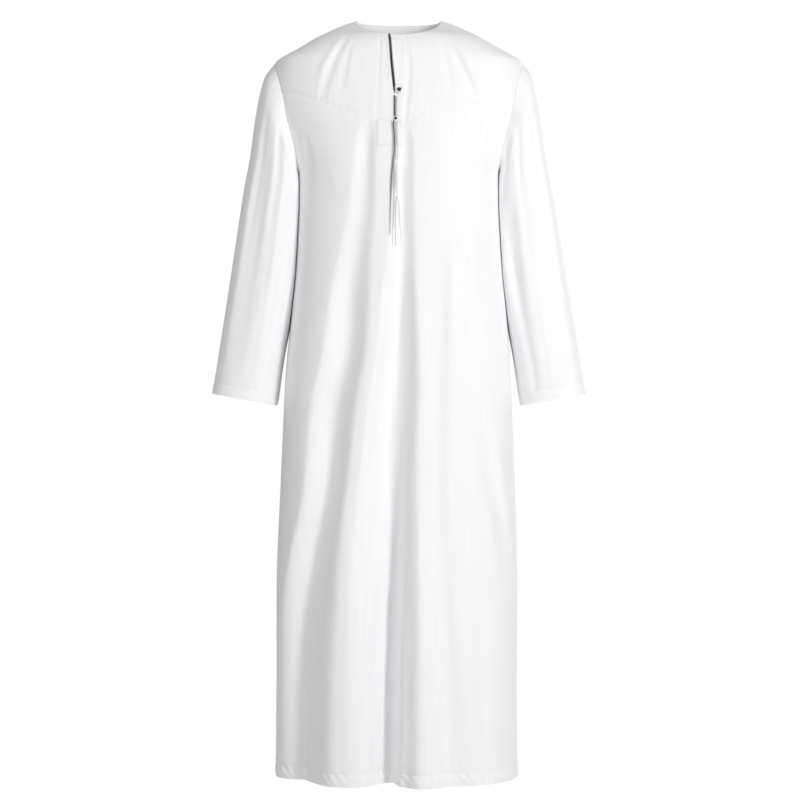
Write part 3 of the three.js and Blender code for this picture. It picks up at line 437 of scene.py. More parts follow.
def columns(rows):
    """Smooth readers of a table's columns, by its first column."""
    keys = [row[0] for row in rows]
    return [smooth_read(keys, [row[k] for row in rows]) for k in range(1, len(rows[0]))]


def straight_read(keys, values):
    def at(key):
        i = min(max(bisect_right(keys, key) - 1, 0), len(keys) - 2)
        return values[i] + (values[i + 1] - values[i]) * (key - keys[i]) / (keys[i + 1] - keys[i])

    return at


half_width_at, front_reach_at, back_reach_at, lean_at = columns(BODY_ROWS)
front_seam_drop = smooth_read(*zip(*YOKE_SEAM_ROWS))
skirt_shares = dict(zip(("right", "left", "back"), columns(SKIRT_ROWS)))
tongue_columns = list(zip(*TONGUE_ROWS))
front_folds = [(rows[0][0], *columns(rows)) for rows in FRONT_FOLD_ROWS]
back_folds = [(rows[0][0], *columns(rows)) for rows in BACK_FOLD_ROWS]


def bump(t):
    return (1 - t * t) ** 2 if abs(t) < 1 else 0.0


def fold_sink(folds, x, drop):
    depth = 0.0
    for start, x_at, depth_at, right_at, left_at in folds:
        if drop <= start:
            continue
        off = x - x_at(drop)
        spread = right_at(drop) if off < 0 else left_at(drop)
        if abs(off) < spread:
            depth += depth_at(drop) * bump(off / spread)
    return depth


def crease_sink(creases, x, y):
    """How far a crease draws the cloth in at a place, by its distance from the crease's line."""
    depth = 0.0
    for points in creases:
        best, found = 1.0, 0.0
        for (ax, ay, ad, aw), (bx, by, bd, bw) in zip(points, points[1:]):
            wide = max(aw, bw)
            if y < min(ay, by) - wide or y > max(ay, by) + wide:
                continue
            if x < min(ax, bx) - wide or x > max(ax, bx) + wide:
                continue
            run_x, run_y = bx - ax, by - ay
            t = ((x - ax) * run_x + (y - ay) * run_y) / (run_x * run_x + run_y * run_y)
            t = min(1.0, max(0.0, t))
            off = hypot(x - ax - t * run_x, y - ay - t * run_y) / (aw + (bw - aw) * t)
            if off < best:
                best, found = off, ad + (bd - ad) * t
        depth += found * bump(best)
    return depth


SIDE_FADE = 0.012  # the last share of the half width, over which folds run out at the side line


def ring_point(around, drop, sink=0.0, plain=False):
    """A point of the body, in millimetres. Around is 0 in front, 1 at the wearer's left side, 2 at
    the middle of the back and -1 or 3 at the right side."""
    wrapped = (around + 2) % 4 - 2
    is_front = abs(wrapped) <= 1
    half_width = half_width_at(drop)
    reach = front_reach_at(drop) if is_front else back_reach_at(drop)
    share = sin(wrapped * pi / 2)
    depth_share = max(0.0, 1 - abs(share) ** SQUARENESS) ** (1 / SQUARENESS)
    x = half_width * share
    y = (-1 if is_front else 1) * reach * depth_share
    out_x = (1 if x > 0 else -1) * abs(share) ** (SQUARENESS - 1) / half_width
    out_y = (-1 if is_front else 1) * depth_share ** (SQUARENESS - 1) / reach
    size = hypot(out_x, out_y)
    to_side_line = min(1.0, (1 - abs(share)) / SIDE_FADE)
    sink += fold_sink(front_folds if is_front else back_folds, x, drop) * to_side_line
    if not plain:
        creases = FRONT_CREASES if is_front else BACK_CREASES
        sink += crease_sink(creases, x, drop) * to_side_line
        ripple = noise.noise(Vector((x * 0.016, y * 0.016, drop * 0.007)))
        sink += 1.1 * ripple * min(1.0, drop / 120)
    return Vector((
        x + lean_at(drop) - sink * out_x / size,
        y - sink * out_y / size,
        ORIGIN_DROP - drop,
    ))


QUARTER_ROUND = 330.0  # millimetres of cloth in a quarter of the way round the body


def body_surface(place):
    """A patch's surface: a point of the body and its place in the cloth, both in millimetres."""
    def surface(u, v):
        around, drop, sink = place(u, v)
        return ring_point(around, drop, sink), (around * QUARTER_ROUND, -drop)

    return surface


def around_at(x, drop, is_back=False):
    share = max(-1.0, min(1.0, x / half_width_at(drop)))
    around = asin(share) * 2 / pi
    return 2 - around if is_back else around


def middle_of_body(point):
    return Vector((0, 0, point.z))


def cloth_piece(name, patches, wall, inside, material, lip=3.0):
    """Cloth from one or more patches of (columns, rows, surface): welded, turned in by a lip round
    its edge, and given its wall on the inner side."""
    bm = bmesh.new()
    uv = bm.loops.layers.uv.new("cloth")
    for across, down, surface in patches:
        grid = bmesh.ops.create_grid(bm, x_segments=across, y_segments=down, size=0.5)
        laid = {}
        for vertex in grid["verts"]:
            point, threads = surface(vertex.co.x + 0.5, 0.5 - vertex.co.y)
            vertex.co = point * MM
            laid[vertex] = [n * MM for n in threads]
        for face in {face for vertex in laid for face in vertex.link_faces}:
            for loop in face.loops:
                loop[uv].uv = laid[loop.vert]
    bmesh.ops.remove_doubles(bm, verts=bm.verts, dist=2e-4)
    bmesh.ops.dissolve_degenerate(bm, edges=bm.edges, dist=1e-6)
    bmesh.ops.recalc_face_normals(bm, faces=bm.faces)
    bm.normal_update()
    facing = 0.0
    for face in bm.faces:
        middle = face.calc_center_median()
        facing += face.normal.dot(middle - inside(middle / MM) * MM) * face.calc_area()
    if facing < 0:
        bmesh.ops.reverse_faces(bm, faces=bm.faces)
        bm.normal_update()
    rim = [edge for edge in bm.edges if edge.is_boundary]
    normals = {vertex: vertex.normal.copy() for edge in rim for vertex in edge.verts}
    for edge in rim:
        edge.smooth = False
    made = bmesh.ops.extrude_edge_only(bm, edges=rim)["geom"]
    for vertex in [item for item in made if isinstance(item, bmesh.types.BMVert)]:
        source = next(
            edge.other_vert(vertex) for edge in vertex.link_edges
            if edge.other_vert(vertex) in normals
        )
        vertex.co -= normals[source] * lip * MM
    for face in bm.faces:
        for loop in face.loops:
            if loop[uv].uv.length == 0:
                loop[uv].uv = (loop.vert.co.x, loop.vert.co.z)
    piece = new_piece(name, bm, material)
    shell = piece.modifiers.new("wall", "SOLIDIFY")
    shell.thickness = wall * MM
    shell.offset = -1
    shell.use_rim = True
    return piece


def cut_piece(piece):
    """Hides the node that a cloth piece stands for."""
    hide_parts(piece.name.removesuffix("_cloth"))


# The weave of the shirting: a height that rises over each thread, and a mask of slightly thicker
# upright threads. Both are read from the cloth's own map, whose unit is the metre.
THREAD_SCALE, STREAK_SCALE = 1400.0, 260.0
weave = bpy.data.node_groups.new("shirting_weave", "ShaderNodeTree")
for socket in ("Thread Scale", "Streak Scale"):
    weave.interface.new_socket(socket, in_out="INPUT", socket_type="NodeSocketFloat")
for socket in ("Height", "Streaks"):
    weave.interface.new_socket(socket, in_out="OUTPUT", socket_type="NodeSocketFloat")
links = weave.links
group_in = weave.nodes.new("NodeGroupInput")
group_out = weave.nodes.new("NodeGroupOutput")
cloth_map = new_node(weave, "UVMap")
cloth_map.uv_map = "cloth"
threads = []
for axis in ("X", "Y"):
    wave = new_node(weave, "TexWave")
    wave.wave_type = "BANDS"
    wave.bands_direction = axis
    wave.wave_profile = "SIN"
    links.new(cloth_map.outputs["UV"], wave.inputs["Vector"])
    links.new(group_in.outputs["Thread Scale"], wave.inputs["Scale"])
    threads.append(wave)
crossing = new_node(weave, "Math")
crossing.operation = "MULTIPLY"
links.new(threads[0].outputs["Fac"], crossing.inputs[0])
links.new(threads[1].outputs["Fac"], crossing.inputs[1])
upright = new_node(weave, "Mapping", Scale=(1.0, 0.03, 1.0))
slubs = new_node(weave, "TexNoise", Detail=2)
links.new(cloth_map.outputs["UV"], upright.inputs["Vector"])
links.new(upright.outputs["Vector"], slubs.inputs["Vector"])
links.new(group_in.outputs["Streak Scale"], slubs.inputs["Scale"])
links.new(crossing.outputs["Value"], group_out.inputs["Height"])
links.new(slubs.outputs["Fac"], group_out.inputs["Streaks"])


def shirting_finish(name, light, shade, rough, crumple):
    """White cotton shirting: faint upright streaks, plain weave, and small soft crumples."""
    material, tree, links, shader = new_material(name)
    threads = new_node(tree, "Group")
    threads.node_tree = weave
    threads.inputs["Thread Scale"].default_value = THREAD_SCALE
    threads.inputs["Streak Scale"].default_value = STREAK_SCALE
    tones = two_tones(tree, (0.32, shade), (0.62, light))
    place = new_node(tree, "TexCoord")
    soft = new_node(tree, "TexNoise", Scale=42, Detail=3)
    crumples = new_node(tree, "Bump", Strength=0.35, Distance=crumple)
    relief = new_node(tree, "Bump", Strength=0.25, Distance=0.00012)
    links.new(threads.outputs["Streaks"], tones.inputs["Fac"])
    links.new(tones.outputs["Color"], shader.inputs["Base Color"])
    links.new(place.outputs["Object"], soft.inputs["Vector"])
    links.new(soft.outputs["Fac"], crumples.inputs["Height"])
    links.new(threads.outputs["Height"], relief.inputs["Height"])
    links.new(crumples.outputs["Normal"], relief.inputs["Normal"])
    links.new(relief.outputs["Normal"], shader.inputs["Normal"])
    shader.inputs["Roughness"].default_value = rough
    shader.inputs["Sheen Weight"].default_value = 0.08
    shader.inputs["Specular IOR Level"].default_value = 0.3
    return material


shirting = shirting_finish("shirting", (0.935, 0.932, 0.945), (0.91, 0.907, 0.922), 0.62, 0.002)
turned_cloth = shirting_finish("turned_cloth", (0.95, 0.947, 0.958),
                               (0.93, 0.927, 0.94), 0.6, 0.003)

SEAM_WIDTH = 4.5
SEAM_DEPTH = 0.55


def seam_dip(distance):
    return SEAM_DEPTH * bump(distance / SEAM_WIDTH) if distance < SEAM_WIDTH else 0.0


def pucker(along, distance, pitch, depth, reach, slant=0.0):
    """Small gathers that a row of stitches draws into the cloth beside it."""
    if distance > 3 * reach:
        return 0.0
    phase = 2 * pi * (along + slant * distance) / pitch
    uneven = 0.6 + 0.4 * sin(along * 0.043 + 1.3) + 0.3 * sin(along * 0.113)
    return depth * uneven * sin(phase + 1.4 * sin(along * 0.031)) * exp(-((distance / reach) ** 2))


HEM_PITCH = 16.5  # eighty puckers go round the hem
GORE_DIP = 0.5  # how deep the flat gore seams lie, as a share of a plain seam
YOKE_DIP = 1.6  # and the puckered yoke seam


def along_body(around):
    """Millimetres round the body from the middle of the front, either way."""
    return ((around + 2) % 4 - 2) * QUARTER_ROUND


def hem_draw(around, drop):
    """How the hem's stitching draws in the cloth above it."""
    above = SKIRT_END - drop
    return seam_dip(above) + pucker(along_body(around), above, HEM_PITCH, 0.9, 16, slant=0.8)


PANEL_CORNER = {"right": -138.0, "left": 136.0}
ARMHOLE_MIDDLE, ARMHOLE_REACH = 185.0, 105.0
YOKE_MEETS = 5 / 28  # how far round the armhole a yoke seam meets it
YOKE_ARM_X = 213.0


def armhole_drop(share):
    return ARMHOLE_MIDDLE - ARMHOLE_REACH * cos(share * 2 * pi)


YOKE_ARM_DROP = armhole_drop(YOKE_MEETS)


def tongue_around(side, down, corner_around):
    """The gore seam between a yoke seam and the armpit: down is 0 at the yoke, 1 at the armpit."""
    sign = -1 if side == "right" else 1
    shares = tongue_columns[1 if side == "right" else 2]
    knots = [sign * asin(share) * 2 / pi for share in shares]
    knots[0] = corner_around
    return smooth_read(tongue_columns[0], knots)(down)


def skirt_around(side, drop):
    sign = -1 if side == "right" else 1
    return sign * asin(skirt_shares[side](drop)) * 2 / pi


front_corner = {
    side: around_at(x, front_seam_drop(x)) for side, x in PANEL_CORNER.items()
}
TONGUE_PART = 0.085  # the share of a panel's rows that lie above the armpit
TONGUE_LONG = 130.0
PANEL_ACROSS = 500.0


def top_of_panel(around, seam_drop_at):
    """The point of a yoke seam at a given place round the body: its x and its drop."""
    top = 180.0
    for _ in range(4):
        x = sin(around * pi / 2) * half_width_at(top)
        top = seam_drop_at(x)
    return x, top


def front_panel_place(u, v):
    """Across from the right gore seam to the left one; down to the armpit line, then the skirt."""
    start, end = front_corner["right"], front_corner["left"]
    around = start + (end - start) * u
    x, top = top_of_panel(around, front_seam_drop)
    if v < TONGUE_PART:
        down = v / TONGUE_PART
        right = tongue_around("right", down, start)
        left = tongue_around("left", down, end)
        drop = top + (ARMPIT - top) * down
    else:
        drop = ARMPIT + (SKIRT_END - ARMPIT) * (v - TONGUE_PART) / (1 - TONGUE_PART)
        right, left = skirt_around("right", drop), skirt_around("left", drop)
    around = right + (left - right) * u
    sink = GORE_DIP * seam_dip(min(u, 1 - u) * PANEL_ACROSS) + YOKE_DIP * seam_dip(drop - top)
    sink += pucker(x, drop - top, 11, 0.5, 7) + hem_draw(around, drop)
    return around, drop, sink


front_panel = cloth_piece(
    "front_panel_cloth", [(110, 240, body_surface(front_panel_place))], WALL, middle_of_body,
    shirting,
)
cut_piece(front_panel)

# ---------- back panel
# The back of the skirt, cut like the front but wider at its top, hung from the straight back yoke.
BACK_YOKE_DROP = 158.0
BACK_CORNER = 140.0


def back_seam_drop(x):
    return BACK_YOKE_DROP + (YOKE_ARM_DROP - BACK_YOKE_DROP) * (x / YOKE_ARM_X) ** 2


back_corner_around = around_at(BACK_CORNER, back_seam_drop(BACK_CORNER), True)


def back_tongue_around(down):
    knots = [2 - asin(share) * 2 / pi for share in tongue_columns[3]]
    knots[0] = back_corner_around
    return smooth_read(tongue_columns[0], knots)(down)


def back_panel_place(u, v):
    """Across from the wearer's left gore seam to the right one."""
    x, top = top_of_panel(back_corner_around + (2 - back_corner_around) * 2 * u, back_seam_drop)
    if v < TONGUE_PART:
        down = v / TONGUE_PART
        left = back_tongue_around(down)
        drop = top + (ARMPIT - top) * down
    else:
        drop = ARMPIT + (SKIRT_END - ARMPIT) * (v - TONGUE_PART) / (1 - TONGUE_PART)
        left = 2 - asin(skirt_shares["back"](drop)) * 2 / pi
    around = left + (2 - left) * 2 * u
    sink = seam_dip(min(u, 1 - u) * PANEL_ACROSS) + seam_dip(drop - top)
    sink += pucker(x, drop - top, 12, 0.4, 7) + hem_draw(around, drop)
    return around, drop, sink


back_panel = cloth_piece(
    "back_panel_cloth", [(110, 240, body_surface(back_panel_place))], WALL, middle_of_body,
    shirting,
)
cut_piece(back_panel)

# ---------- gores
# A side gore on each flank: a tongue in front of the armhole and one behind it, and the side of the
# skirt below, one piece of shirting set in between the panels and the sleeve.
ARMHOLE_ROWS = (  # drop, x
    (80, 229), (139.4, 213), (188, 204), (237, 191), (262, 186.5), (275, 185.5), (285, 187),
    (290, 189),
)
(armhole_x_at,) = columns(ARMHOLE_ROWS)
ARMHOLE_TOP = armhole_drop(0)
SIDES = (("right", -1), ("left", 1))


def armhole_place(step, sign):
    """Round the armhole: step 0 is the shoulder point, 0.5 the armpit, then up the back."""
    drop = armhole_drop(step)
    return around_at(sign * armhole_x_at(drop), drop, step > 0.5), drop


def gore_patches(side, sign, is_back):
    side_line = 2 - sign if is_back else sign
    seam_drop = back_seam_drop if is_back else front_seam_drop
    corner_x = sign * BACK_CORNER if is_back else PANEL_CORNER[side]
    top_arm_around = armhole_place(1 - YOKE_MEETS if is_back else YOKE_MEETS, sign)[0]

    def seam_around(down):
        if not is_back:
            return tongue_around(side, down, front_corner[side])
        around = back_tongue_around(down)
        return around if sign > 0 else 4 - around

    def tongue(u, v):
        step = YOKE_MEETS + v * (0.5 - YOKE_MEETS)
        arm_around, arm_drop = armhole_place(1 - step if is_back else step, sign)
        if v >= 1 - 1e-6:
            arm_around, arm_drop = side_line, ARMPIT
        x = corner_x + (sign * YOKE_ARM_X - corner_x) * u
        top = seam_drop(x)
        start = seam_around(v)
        corner_drop = seam_drop(corner_x)
        start_drop = corner_drop + (ARMPIT - corner_drop) * v
        fade = (1 - v) ** 4
        straight = seam_around(0) + (top_arm_around - seam_around(0)) * u
        around = start + (arm_around - start) * u
        around += (around_at(x, top, is_back) - straight) * fade
        drop = start_drop + (arm_drop - start_drop) * u
        drop += (top - (corner_drop + (YOKE_ARM_DROP - corner_drop) * u)) * fade
        across = abs(arm_around - start) * QUARTER_ROUND
        sink = GORE_DIP * seam_dip(u * across) + seam_dip((1 - u) * across) * (1 - v ** 6)
        sink += YOKE_DIP * seam_dip(v * TONGUE_LONG)
        return around, drop, sink

    def skirt(u, v):
        drop = ARMPIT + (SKIRT_END - ARMPIT) * v
        if is_back:
            start = 2 - sign * asin(skirt_shares["back"](drop)) * 2 / pi
        else:
            start = skirt_around(side, drop)
        around = start + (side_line - start) * u
        across = abs(side_line - start) * QUARTER_ROUND
        return around, drop, GORE_DIP * seam_dip(u * across) + hem_draw(around, drop)

    return [(20, 32, body_surface(tongue)), (20, 216, body_surface(skirt))]


for side, sign in SIDES:
    gore = cloth_piece(
        f"gore_{side}_cloth",
        gore_patches(side, sign, False) + gore_patches(side, sign, True),
        WALL, middle_of_body, shirting,
    )
    cut_piece(gore)

# ---------- yokes
# Two front yokes from the neck and shoulder line down to the V seam, and one back yoke from armhole
# to armhole. The cloth is drawn tight from the neck points towards the armholes.
NECK_HALF_WIDTH = 77.0
NECK_BINDING = 6.0
shoulder_rows = BODY_ROWS[:10]
ridge_drop_at = smooth_read([row[1] for row in shoulder_rows], [row[0] for row in shoulder_rows])
SLIT_ROWS = (  # drop, right edge, left edge
    (30, -20.2, -15.2), (90, -15.8, -11.2), (140, -10.6, -6), (152, -7.8, -7.8),
    (260, -7.8, -7.8),
)
PLACKET = {"right": (-33.0, -41.0), "left": (14.0, 8.0)}  # x of its outer edge: top, low
slit_columns = list(zip(*SLIT_ROWS))
slit_at = {
    "right": straight_read(slit_columns[0], slit_columns[1]),
    "left": straight_read(slit_columns[0], slit_columns[2]),
}


def neckline(turn, border):
    """The neckline moved outward by a border: turn 0 is in front, 180 behind, in degrees."""
    angle = radians(turn)
    half_width = NECK_HALF_WIDTH + 0.9 * border
    middle = (-2.0 if cos(angle) < 0 else 38.0) + 0.85 * border
    ridge = ridge_drop_at(half_width)
    drop = ridge + (middle - ridge) * abs(cos(angle))
    return half_width * sin(angle), drop


def turn_at(x):
    return asin(x / (NECK_HALF_WIDTH + 0.9 * NECK_BINDING)) * 180 / pi


RIDGE_START = neckline(90, NECK_BINDING)[1]
NECK_PART = 0.45
YOKE_LIP = 1.0
YOKE_ACROSS, YOKE_DOWN, BACK_YOKE_ACROSS = 190.0, 120.0, 400.0


def yoke_share(v):
    return (armhole_drop(v * YOKE_MEETS) - ARMHOLE_TOP) / (YOKE_ARM_DROP - ARMHOLE_TOP)


def front_yoke_surface(side, sign):
    start_turn = turn_at(PLACKET[side][0])
    low_x = PLACKET[side][1]

    def place(u, v):
        if u < NECK_PART:
            turn = start_turn + (sign * 90 - start_turn) * u / NECK_PART
            top_x, top_drop = neckline(turn, NECK_BINDING)
        else:
            share = (u - NECK_PART) / (1 - NECK_PART)
            top_drop = RIDGE_START + (ARMHOLE_TOP - RIDGE_START) * share
            top_x = sign * half_width_at(top_drop)
        bottom_x = low_x + (sign * YOKE_ARM_X - low_x) * u
        t = yoke_share(v)
        bottom_drop = front_seam_drop(bottom_x)
        x = top_x + (bottom_x - top_x) * t
        drop = top_drop + (bottom_drop - top_drop) * t
        x += (sign * armhole_x_at(drop) - x) * u ** 30 * min(1.0, t * 20)
        sink = seam_dip(min(u, 1 - u) * YOKE_ACROSS) + seam_dip(v * YOKE_DOWN)
        sink += YOKE_DIP * seam_dip(bottom_drop - drop)
        sink += pucker(x, bottom_drop - drop, 11, 0.5, 6)
        return around_at(x, drop), drop, sink

    return body_surface(place)


for side, sign in SIDES:
    yoke = cloth_piece(
        f"front_yoke_{side}_cloth", [(90, 48, front_yoke_surface(side, sign))], WALL,
        middle_of_body, shirting, lip=YOKE_LIP,
    )
    cut_piece(yoke)


def back_yoke_place(u, v):
    """From the wearer's left armhole to the right one, below shoulder lines and neckline."""
    ridge_part = 0.25
    if u < ridge_part:
        share = 1 - u / ridge_part
        top_drop = RIDGE_START + (ARMHOLE_TOP - RIDGE_START) * share
        top_x = half_width_at(top_drop)
    elif u > 1 - ridge_part:
        share = (u - 1 + ridge_part) / ridge_part
        top_drop = RIDGE_START + (ARMHOLE_TOP - RIDGE_START) * share
        top_x = -half_width_at(top_drop)
    else:
        turn = 90 + 180 * (u - ridge_part) / (1 - 2 * ridge_part)
        top_x, top_drop = neckline(turn, NECK_BINDING)
    bottom_x = YOKE_ARM_X * (1 - 2 * u)
    bottom_drop = back_seam_drop(bottom_x)
    t = yoke_share(v)
    x = top_x + (bottom_x - top_x) * t
    drop = top_drop + (bottom_drop - top_drop) * t
    sink = seam_dip(min(u, 1 - u) * BACK_YOKE_ACROSS) + seam_dip(v * YOKE_DOWN)
    sink += seam_dip(bottom_drop - drop) + pucker(x, bottom_drop - drop, 12, 0.4, 6)
    return around_at(x, drop, True), drop, sink


back_yoke = cloth_piece(
    "back_yoke_cloth", [(160, 48, body_surface(back_yoke_place))], WALL, middle_of_body, shirting,
    lip=YOKE_LIP,
)
cut_piece(back_yoke)

# ---------- placket
# Two facings either side of the neck slit, from the neck binding to the tip of the V seam, and the
# stitched square end of the placket below it, which lies on the front panel.


TUCKED_UNDER = 1.6  # the placket's top runs on beneath the neck binding


def placket_surface(side):
    top_x, low_x = PLACKET[side]
    column = 1 if side == "right" else 2
    slit_top, slit_low = SLIT_ROWS[0][column], SLIT_ROWS[-1][column]

    def place(u, v):
        upper = neckline(turn_at(top_x + (slit_top - top_x) * u), NECK_BINDING)[1] - TUCKED_UNDER
        lower = front_seam_drop(low_x + (slit_low - low_x) * u)
        drop = upper + (lower - upper) * v
        edge = top_x + (low_x - top_x) * v
        x = edge + (slit_at[side](drop) - edge) * u
        sink = seam_dip(u * 20) * 1.1 + seam_dip(lower - drop) + seam_dip(drop - upper)
        sink -= 0.7 * bump((1 - u) * 20 / 7)
        return around_at(x, drop), drop, sink

    return body_surface(place)


for side, sign in SIDES:
    placket = cloth_piece(
        f"placket_{side}_cloth", [(12, 90, placket_surface(side))], WALL, middle_of_body, shirting,
    )
    cut_piece(placket)


def placket_end_place(u, v):
    x = PLACKET["right"][1] + 2 + (PLACKET["left"][1] - PLACKET["right"][1] - 4) * u
    top = front_seam_drop(x) + 1
    drop = top + (245 - top) * v
    rim = min(min(u, 1 - u) * 46, (1 - v) * 50)
    return around_at(x, drop), drop, -WALL - 0.5 + seam_dip(rim) + pucker(x + drop, rim, 9, 0.3, 5)


placket_end = cloth_piece(
    "placket_end_cloth", [(24, 24, body_surface(placket_end_place))], 1.0, middle_of_body,
    shirting, lip=0.5,
)
cut_piece(placket_end)

# ---------- neck binding
# A narrow doubled strip that binds the neck from one edge of the slit round to the other.


NECK_TURNED_IN = 18.0
BINDING_FACE = 0.35


def binding_surface(u, v):
    """From the seam up to the neck's edge, then down inside it."""
    start, end = turn_at(SLIT_ROWS[0][2]), 360 + turn_at(SLIT_ROWS[0][1])
    turn = start + (end - start) * u
    up = min(1.0, v / BINDING_FACE)
    inner = max(0.0, v - BINDING_FACE) / (1 - BINDING_FACE)
    x, drop = neckline(turn, NECK_BINDING * (1 - up))
    sink = -0.8 * bump((up - 0.5) * 1.6) * (1 - inner) + pucker(turn * 1.4, 0, 6, 0.12, 5)
    point = ring_point(around_at(x, drop, 90 < turn < 270), drop, sink)
    inward = 1 - 0.02 * min(1.0, 4 * inner)
    fall = NECK_TURNED_IN * inner
    return Vector((point.x * inward, point.y * inward, point.z - fall)), (turn * 1.4, -24 * v)


def under_binding(point):
    return Vector((point.x * 1.1, point.y * 1.1, point.z - 12))


binding = cloth_piece(
    "neck_binding_cloth", [(260, 14, binding_surface)], 0.8, under_binding, turned_cloth, lip=0.5,
)
cut_piece(binding)

# ---------- hem band
# The foot of the robe turned up double and stitched all round. Its stitching draws the cloth into
# small slanting puckers.


def hem_place(u, v):
    around = -2 + 4 * u
    drop = SKIRT_END + (HEM_DROP - SKIRT_END) * v
    along = along_body(around)
    from_seam = (HEM_DROP - SKIRT_END) * v
    sink = pucker(along, from_seam, HEM_PITCH, 1.1, 18, slant=-0.8) + seam_dip(from_seam)
    sink -= 1.1 * bump((v - 0.55) * 2)
    return around, drop, sink


hem_band = cloth_piece(
    "hem_band_cloth", [(520, 10, body_surface(hem_place))], 2.4, middle_of_body, turned_cloth,
    lip=2.0,
)
cut_piece(hem_band)

# ---------- sleeves and cuffs
# Long set-in sleeves, each a tube of shirting that hangs beside the body with long soft folds, and
# ends in a cuff turned up double.
SLEEVE_ROWS = (  # step, outer x, outer drop, inner drop, how far the body presses in, half depth
    (0, 229, 80, 290, 0, 69), (1, 247, 105, 298, 6, 73), (2, 257, 140, 309, 12, 76),
    (3, 266, 190, 325, 14, 77), (4, 274, 250, 351, 14, 76), (5, 287, 320, 394, 14, 73),
    (6, 300, 405, 457, 12, 69), (7, 313, 490, 525, 6, 65), (8, 327, 580, 603, -4, 61),
    (9, 341, 669, 691, -12, 57),
)
CUFF_END = (345.0, 689.0, 225.0, 711.0, 58.0)  # outer x and drop, inner x and drop, half depth
SLEEVE_FOLDS = (  # angle, depth, spread, from step, to step
    (66, 7, 26, 2, 9),
    (122, 6, 22, 4, 8),
    (250, 7, 28, 2, 9),
    (300, 5, 22, 3, 8),
)
# Finer creases on the sleeve: points of angle, place down the sleeve in millimetres, depth, width.
SLEEVE_CREASES = (
    ((120, 20, 0, 8), (116, 80, 3.4, 11), (122, 160, 4.2, 13), (132, 240, 3.4, 13),
     (138, 330, 0, 12)),
    ((100, 10, 0, 8), (102, 60, -2.4, 9), (106, 130, -2.4, 10), (118, 190, 0, 10)),
    ((86, 60, 0, 8), (90, 140, 3.2, 11), (94, 240, 4.2, 12), (92, 380, 3.2, 12), (86, 520, 0, 12)),
    ((128, 330, 0, 9), (128, 430, 3.2, 12), (124, 560, 2.6, 12), (122, 612, 2, 12)),
    ((58, 80, 0, 8), (56, 200, 1.8, 10), (52, 360, 1.8, 11), (50, 520, 0, 11)),
    ((106, 330, 0, 9), (108, 450, -2, 11), (106, 590, -1.6, 12)),
    ((236, 20, 0, 8), (242, 90, 3.0, 10), (232, 170, 2.6, 11), (222, 240, 0, 10)),
    ((276, 60, 0, 8), (284, 180, 2.8, 11), (288, 330, 2.2, 12), (290, 470, 0, 12)),
    ((216, 220, 0, 9), (220, 340, 2.6, 11), (224, 480, 2.2, 12), (226, 580, 0, 12)),
    ((312, 120, 0, 8), (316, 260, 1.8, 10), (318, 420, 0, 11)),
)
MEETING_STEPS = 2.5  # over these the sleeve leaves the armhole's shape for its own
ARMPIT_EASE = 10.0
SLEEVE_FLATNESS = 0.72  # 1 would make the sleeve's section a plain ellipse
SLEEVE_GAP = 2.4  # between the sleeve and the side that it lies against
SLEEVE_LONG, CUFF_LONG = 600.0, 20.0
LAST_STEP = 9
DEGREE_MM = 1.7
STEP_MM = 68.0
sleeve_columns = columns(SLEEVE_ROWS)


def tube_point(form, turn, sink):
    out_x, out_drop, in_x, in_drop, half_depth = form
    half_x, half_z = (out_x - in_x) / 2, (in_drop - out_drop) / 2
    size = hypot(half_x, half_z)
    c, s = cos(turn), sin(turn)
    flat = (1 if s > 0 else -1) * abs(s) ** SLEEVE_FLATNESS
    return Vector((
        (out_x + in_x) / 2 + half_x * c - sink * c * half_x / size,
        -flat * half_depth + sink * s,
        ORIGIN_DROP - (out_drop + in_drop) / 2 + half_z * c - sink * c * half_z / size,
    ))


def sleeve_form(step):
    out_x, out_drop, in_drop, press, half_depth = [column(step) for column in sleeve_columns]
    return out_x, out_drop, half_width_at(in_drop) - press, in_drop, half_depth


def side_of_body(y, drop):
    """How far out the body's side lies at a height and a depth."""
    reach = front_reach_at(drop) if y < 0 else back_reach_at(drop)
    share = max(0.0, 1 - abs(y / reach) ** SQUARENESS) ** (1 / SQUARENESS)
    return half_width_at(drop) * share


def sleeve_point(step, angle, extra=0.0, plain=False):
    turn = radians(angle)
    sink = extra
    for middle, depth, spread, start, end in SLEEVE_FOLDS:
        if start < step < end and abs(angle - middle) < spread:
            reach = sin((step - start) / (end - start) * pi)
            sink += depth * reach * bump((angle - middle) / spread)
    if not plain:
        for creases_at in (angle, angle - 360):
            sink += crease_sink(SLEEVE_CREASES, creases_at, step * STEP_MM)
    point = tube_point(sleeve_form(step), turn, sink)
    pull = max(0.0, 1 - step / MEETING_STEPS) ** 2
    if pull > 0:
        around, drop = armhole_place(angle / 360, 1)
        meeting = ring_point(around, drop, 0.0 if plain else SEAM_DEPTH, plain)
        point += (meeting - tube_point(sleeve_form(0), turn, 0)) * pull
    point_drop = ORIGIN_DROP - point.z
    below = min(1.0, (point_drop - ARMPIT + ARMPIT_EASE) / ARMPIT_EASE)
    if below > 0:
        point.x = max(point.x, side_of_body(point.y, point_drop) + SLEEVE_GAP * below)
    return point


def sleeve_surface(sign):
    def surface(u, v):
        step = LAST_STEP * v
        angle = 360 * (u % 1.0)
        down, up, along = v * SLEEVE_LONG, (1 - v) * SLEEVE_LONG, angle * DEGREE_MM
        extra = seam_dip(down) + pucker(along, down, 12, 0.5, 8)
        extra += seam_dip(up) + pucker(along, up, 13, 0.6, 9, 0.8)
        ripple = noise.noise(Vector((angle * 0.022 + 7 * sign, step * 0.45, 3.1)))
        point = sleeve_point(step, angle, extra + 1.0 * ripple * bump((angle - 180) / 181))
        point.x *= sign
        return point, (360 * u * DEGREE_MM, -step * STEP_MM)

    return surface


